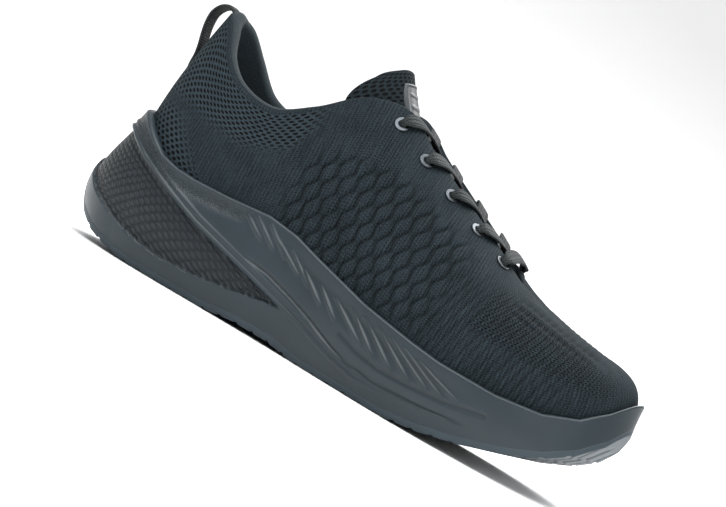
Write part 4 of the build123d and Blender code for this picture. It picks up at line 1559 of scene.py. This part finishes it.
@dataclass
class Lace:
    """Flat braided lace through ten eyelets, its ends tucked inside."""

    width: float = 7.8
    thickness: float = 1.6
    bore_width: float = 3.9
    bore_swell: float = 0.9
    columns: int = 28
    ring_gap: float = 0.8
    merge_distance: float = 1e-4
    rises_at: tuple[float, float] = (118.0, 140.0)
    lies_to: tuple[float, float] = (62.0, 86.0)
    throat: Point = (0.87, 0.0, -0.49)
    route: Sequence[Point] = (
        (0.0540, 0.0370, 0.0368), (0.0410, 0.0354, 0.0372), (0.0265, 0.0326, 0.0384), (0.0115, 0.0310, 0.0402),
        (-0.0020, 0.0296, 0.0445), (-0.0115, 0.0284, 0.0555), (-0.0164, 0.0274, 0.0700),
        (-0.0170, 0.0258, 0.0850), (-0.0168, 0.0236, 0.1000), (-0.0176, 0.0212, 0.1126),
        (-0.0173, 0.0157, 0.1223), (-0.0159, 0.0242, 0.1265), (-0.0108, 0.0178, 0.1312),
        (-0.0055, 0.0034, 0.1242), (0.0002, -0.0089, 0.1182), (0.0012, -0.0168, 0.1118),
        (0.0046, -0.0232, 0.1186), (0.0096, -0.0148, 0.1202), (0.0145, -0.0011, 0.1164),
        (0.0197, 0.0101, 0.1092), (0.0211, 0.0169, 0.1020), (0.0240, 0.0233, 0.1086), (0.0301, 0.0150, 0.1102),
        (0.0345, 0.0019, 0.1026), (0.0381, -0.0084, 0.0990), (0.0398, -0.0169, 0.0940),
        (0.0437, -0.0209, 0.1020), (0.0488, -0.0108, 0.1013), (0.0530, 0.0019, 0.0976),
        (0.0554, 0.0102, 0.0895), (0.0580, 0.0179, 0.0854), (0.0617, 0.0213, 0.0938), (0.0610, 0.0089, 0.0970),
        (0.0606, -0.0046, 0.0968), (0.0618, -0.0178, 0.0942), (0.0576, -0.0152, 0.0858),
        (0.0552, -0.0074, 0.0894), (0.0520, 0.0034, 0.0934), (0.0483, 0.0138, 0.1013), (0.0436, 0.0229, 0.1009),
        (0.0403, 0.0177, 0.0933), (0.0385, 0.0099, 0.0993), (0.0340, -0.0011, 0.1059),
        (0.0303, -0.0128, 0.1102), (0.0242, -0.0222, 0.1101), (0.0206, -0.0170, 0.1026),
        (0.0193, -0.0092, 0.1087), (0.0135, 0.0029, 0.1129), (0.0096, 0.0159, 0.1200), (0.0045, 0.0238, 0.1172),
        (0.0017, 0.0163, 0.1114), (0.0005, 0.0108, 0.1190), (-0.0050, -0.0021, 0.1274),
        (-0.0104, -0.0165, 0.1316), (-0.0158, -0.0244, 0.1280), (-0.0174, -0.0165, 0.1226),
        (-0.0178, -0.0222, 0.1128), (-0.0168, -0.0262, 0.1005), (-0.0162, -0.0298, 0.0860),
        (-0.0164, -0.0322, 0.0710), (-0.0120, -0.0326, 0.0560), (-0.0025, -0.0332, 0.0450),
        (0.0110, -0.0350, 0.0402), (0.0260, -0.0376, 0.0384), (0.0405, -0.0398, 0.0372),
        (0.0535, -0.0410, 0.0368),
    )
    bores: Sequence[tuple[int, int]] = (
        (10, 11), (15, 16), (20, 21), (25, 26), (30, 31), (34, 35), (39, 40), (44, 45), (49, 50), (54, 55),
    )

    def centre_line(self) -> tuple[np.ndarray, np.ndarray]:
        """Points of the smooth line through the route, at even distances.

        Returns:
            Drawing coordinates of the points, and the distance of each from the lace's start.
        """
        curve = bpy.data.curves.new("lace_line", "CURVE")
        curve.dimensions = "3D"
        curve.resolution_u = 16
        spline = curve.splines.new("NURBS")
        spline.points.add(len(self.route) - 1)
        for point, place in zip(spline.points, self.route):
            point.co = (*place, 1.0)
        spline.order_u = 3
        spline.use_endpoint_u = True
        holder = bpy.data.objects.new("lace_line", curve)
        bpy.context.collection.objects.link(holder)
        mesh = bpy.data.meshes.new_from_object(holder)
        line = np.array([vertex.co[:] for vertex in mesh.vertices]) / MM - DRAWING_ORIGIN
        bpy.data.objects.remove(holder)
        bpy.data.meshes.remove(mesh)
        gaps = np.linalg.norm(np.diff(line, axis=0), axis=1)
        line = line[np.append(True, gaps > self.merge_distance)]
        lengths = running_length(np.linalg.norm(np.diff(line, axis=0), axis=1))
        marks = np.linspace(0, lengths[-1], int(lengths[-1] / self.ring_gap))
        return np.column_stack([np.interp(marks, lengths, line[:, axis]) for axis in range(3)]), marks

    def flat_direction(self, tangent: np.ndarray, marks: np.ndarray) -> np.ndarray:
        """Direction of the braid's width: along the throat in front, and along the shoe inside.

        Args:
            tangent: Direction of the line at each ring.
            marks: Distance of each ring from the lace's start.

        Returns:
            One unit vector for each ring.
        """
        from_end = marks[-1] - marks
        inside = 2 - smooth_step(marks, *self.rises_at) - smooth_step(from_end, *self.rises_at)
        level = 2 - smooth_step(marks, *self.lies_to) - smooth_step(from_end, *self.lies_to)
        flat = np.array(self.throat)[None] * (1 - inside)[:, None]
        flat = flat + np.array([1.0, 0, 0])[None] * (inside - level)[:, None]
        flat = flat + np.array([0, 1.0, 0])[None] * level[:, None]
        return unit(flat - tangent * np.sum(flat * tangent, axis=1, keepdims=True))

    def squeeze(self, line: np.ndarray, marks: np.ndarray) -> np.ndarray:
        """How far the braid is drawn in, in the eyelets and at its ends.

        Args:
            line: Points of the line.
            marks: Distance of each point from the lace's start.

        Returns:
            0 to 1 for each point.
        """
        squeeze = 1 - smooth_step(np.minimum(marks, marks[-1] - marks), 0.0, 6.0)
        for first, second in self.bores:
            middle = (np.array(self.route[first]) + np.array(self.route[second])) / 2 / MM - DRAWING_ORIGIN
            near = np.linalg.norm(line - middle, axis=1)
            squeeze = np.maximum(squeeze, 1 - smooth_step(near, 2.6, 6.4))
        return squeeze

    def build(self, finish: bpy.types.Material) -> bpy.types.Object:
        """Build the braid, ring by ring along its line.

        Args:
            finish: Its material.

        Returns:
            The piece.
        """
        line, marks = self.centre_line()
        tangent = unit(np.gradient(line, axis=0))
        flat = self.flat_direction(tangent, marks)
        normal = np.cross(flat, tangent)
        squeeze = self.squeeze(line, marks)
        half_width = (self.width - (self.width - self.bore_width) * squeeze) / 2
        half_thick = (self.thickness + self.bore_swell * squeeze) / 2
        around = np.linspace(0, 2 * np.pi, self.columns, endpoint=False)
        side, rise = rounded(around, 0.75, 0.6)
        rise = rise * (1 + 0.10 * np.cos(around)**2 * np.cos(around * 14))
        grid = line[:, None] + flat[:, None] * (half_width[:, None] * side)[..., None]
        grid = grid + normal[:, None] * (half_thick[:, None] * rise)[..., None]
        piece = new_piece("lace_braid", grid.reshape(-1, 3), tube_faces(len(line), self.columns), finish)
        girth = 2 * (self.width + self.thickness)
        map_weave(piece, running_length(np.full(self.columns, girth / self.columns)), marks)
        merge_doubles(piece, 0.0000001)
        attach(piece, SHOE)
        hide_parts("lace")
        return piece


# ---------------------------------------------------------------------------------------------
# Stage
# ---------------------------------------------------------------------------------------------


@dataclass
class Studio:
    """Floor, lights and camera."""

    azimuth: float = 17.0
    elevation: float = 2.0
    roll: float = 29.2
    distance: float = 1.5
    focal_mm: float = 151.0
    aim: Point = (-0.0086, 0.0, 0.0611)
    surround: float = 0.45
    floor_front: float = -14.0
    floor_back: float = 1.2
    floor_half_width: float = 10.0
    curve_radius: float = 1.6
    curve_steps: int = 16
    wall_height: float = 5.0
    # Each light: name, place, width and power in watts.
    lights: Sequence[tuple[str, Point, float, float]] = (
        ("key", (-0.1, -0.55, 1.5), 1.5, 48.0), ("fill", (1.3, -1.0, 0.8), 0.8, 6.0),
        ("back", (0.2, 0.9, 1.3), 1.1, 34.0),
    )
    lit_point: Point = (0.0, 0.0, 0.07)

    def build_floor(self) -> None:
        """Add the pale floor that curves up far behind the shoe."""
        rows = [(self.floor_front, 0.0), (self.floor_back, 0.0)]
        for step in range(1, self.curve_steps + 1):
            turn = step / self.curve_steps * math.pi / 2
            rows.append((
                self.floor_back + self.curve_radius * math.sin(turn), self.curve_radius * (1 - math.cos(turn))
            ))
        rows.append((self.floor_back + self.curve_radius, self.wall_height))
        azimuth = math.radians(self.azimuth)
        along = np.array([math.cos(azimuth), math.sin(azimuth)])
        away = np.array([-math.sin(azimuth), math.cos(azimuth)])
        points = []
        for depth, height in rows:
            for side in (-self.floor_half_width, self.floor_half_width):
                xy = along * side + away * depth
                points.append((xy[0], xy[1], height))
        faces = [(2 * n, 2 * n + 1, 2 * n + 3, 2 * n + 2) for n in range(len(rows) - 1)]
        mesh = bpy.data.meshes.new("floor")
        mesh.from_pydata(points, [], faces)
        mesh.polygons.foreach_set("use_smooth", [True] * len(faces))
        floor = bpy.data.objects.new("floor", mesh)
        bpy.context.collection.objects.link(floor)
        paper = PlainFinish("floor_paper", (0.93, 0.93, 0.93, 1.0), 0.9, 40.0, 0.0, 0.004)
        floor.data.materials.append(paper.build())

    def build_lights(self) -> None:
        """Add large soft lights and an even surround."""
        world = bpy.data.worlds.new("surround")
        bpy.context.scene.world = world
        world.use_nodes = True
        background = world.node_tree.nodes["Background"]
        background.inputs["Color"].default_value = (1.0, 1.0, 1.0, 1.0)
        background.inputs["Strength"].default_value = self.surround
        for name, place, width, power in self.lights:
            light = bpy.data.lights.new(name, "AREA")
            light.size = width
            light.energy = power
            holder = bpy.data.objects.new(name, light)
            holder.location = place
            ray = Vector(self.lit_point) - Vector(place)
            holder.rotation_euler = ray.to_track_quat("-Z", "Y").to_euler()
            bpy.context.collection.objects.link(holder)

    def build_camera(self) -> None:
        """Add the camera, rolled so that the toe points down to the right."""
        azimuth, elevation = math.radians(self.azimuth), math.radians(self.elevation)
        level = math.cos(elevation)
        backward = Vector((math.sin(azimuth) * level, -math.cos(azimuth) * level, math.sin(elevation)))
        camera = bpy.data.cameras.new("camera")
        camera.lens = self.focal_mm
        camera.clip_end = 50.0
        holder = bpy.data.objects.new("camera", camera)
        turn = backward.to_track_quat("Z", "Y").to_matrix() @ Matrix.Rotation(math.radians(self.roll), 3, "Z")
        holder.matrix_world = Matrix.Translation(Vector(self.aim) + backward * self.distance) @ turn.to_4x4()
        bpy.context.collection.objects.link(holder)
        bpy.context.scene.camera = holder
        bpy.context.scene.view_settings.view_transform = "Standard"


# ---------------------------------------------------------------------------------------------
# Assembly
# ---------------------------------------------------------------------------------------------


@dataclass
class Finishes:
    """All materials of the shoe, by slot."""

    slots: dict[str, bpy.types.Material] = field(init=False)

    def __post_init__(self) -> None:
        """Build each material once."""
        self.slots = {
            "knit": KnitFinish().build(),
            "open_mesh": OpenMeshFinish().build(),
            "lining": LiningFinish().build(),
            "webbing": WebbingFinish().build(),
            "lace_braid": BraidFinish().build(),
            "lace_tip": PlainFinish("lace_tip", (0.03, 0.03, 0.03, 1.0), 0.25).build(),
            "padding": LiningFinish("padding", 0.09, 0.14).build(),
            "insole_foam": PlainFinish("insole_foam", (0.12, 0.12, 0.13, 1.0), 0.8, 0.5, 0.2).build(),
            "midsole_foam": FoamSoleFinish().build(),
            "tread_rubber": FoamSoleFinish("tread_rubber", 0.030, 0.046, 0.5).build(),
            "board": PlainFinish("board", (0.35, 0.33, 0.30, 1.0), 0.9).build(),
            "stiffener": PlainFinish("stiffener", (0.20, 0.20, 0.20, 1.0), 0.7).build(),
            "label": PlainFinish("label", (0.022, 0.027, 0.031, 1.0), 0.45, 0.5, 0.1).build(),
            "eyelet_metal": MetalFinish().build(),
        }

    def dress_nodes(self) -> None:
        """Give every carried-over node the finish of its slot."""
        for part in frame["record"]["subparts"]:
            node = frame["nodes"].get(part["node"])
            holder = node if isinstance(node, bpy.types.Object) else bpy.data.objects.get(part["node"])
            if holder is None:
                continue
            holder.data.materials.clear()
            holder.data.materials.append(self.slots[part["material_slot"]])


def main() -> None:
    """Build the shoe and its stage and report each piece."""
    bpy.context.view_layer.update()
    finishes = Finishes()
    finishes.dress_nodes()
    last = Last()
    sole = Sole(last)
    upper = Upper(last)
    tongue = Tongue()
    pieces: list[Callable[[], bpy.types.Object]] = [
        lambda: sole.build_midsole(finishes.slots["midsole_foam"]),
        lambda: sole.build_tread(finishes.slots["tread_rubber"]),
        lambda: upper.build_knit(finishes.slots["knit"]),
        lambda: upper.build_lining(finishes.slots["lining"]),
        lambda: HeelLoop().build(finishes.slots["webbing"]),
        lambda: tongue.build_pad(finishes.slots["open_mesh"]),
        lambda: tongue.build_label(finishes.slots["label"]),
        lambda: Lace().build(finishes.slots["lace_braid"]),
    ]
    for build in pieces:
        piece = build()
        log.info("%s: %d faces", piece.name, len(piece.data.polygons))
    studio = Studio()
    studio.build_floor()
    studio.build_lights()
    studio.build_camera()


if __name__ == "__main__":
    main()
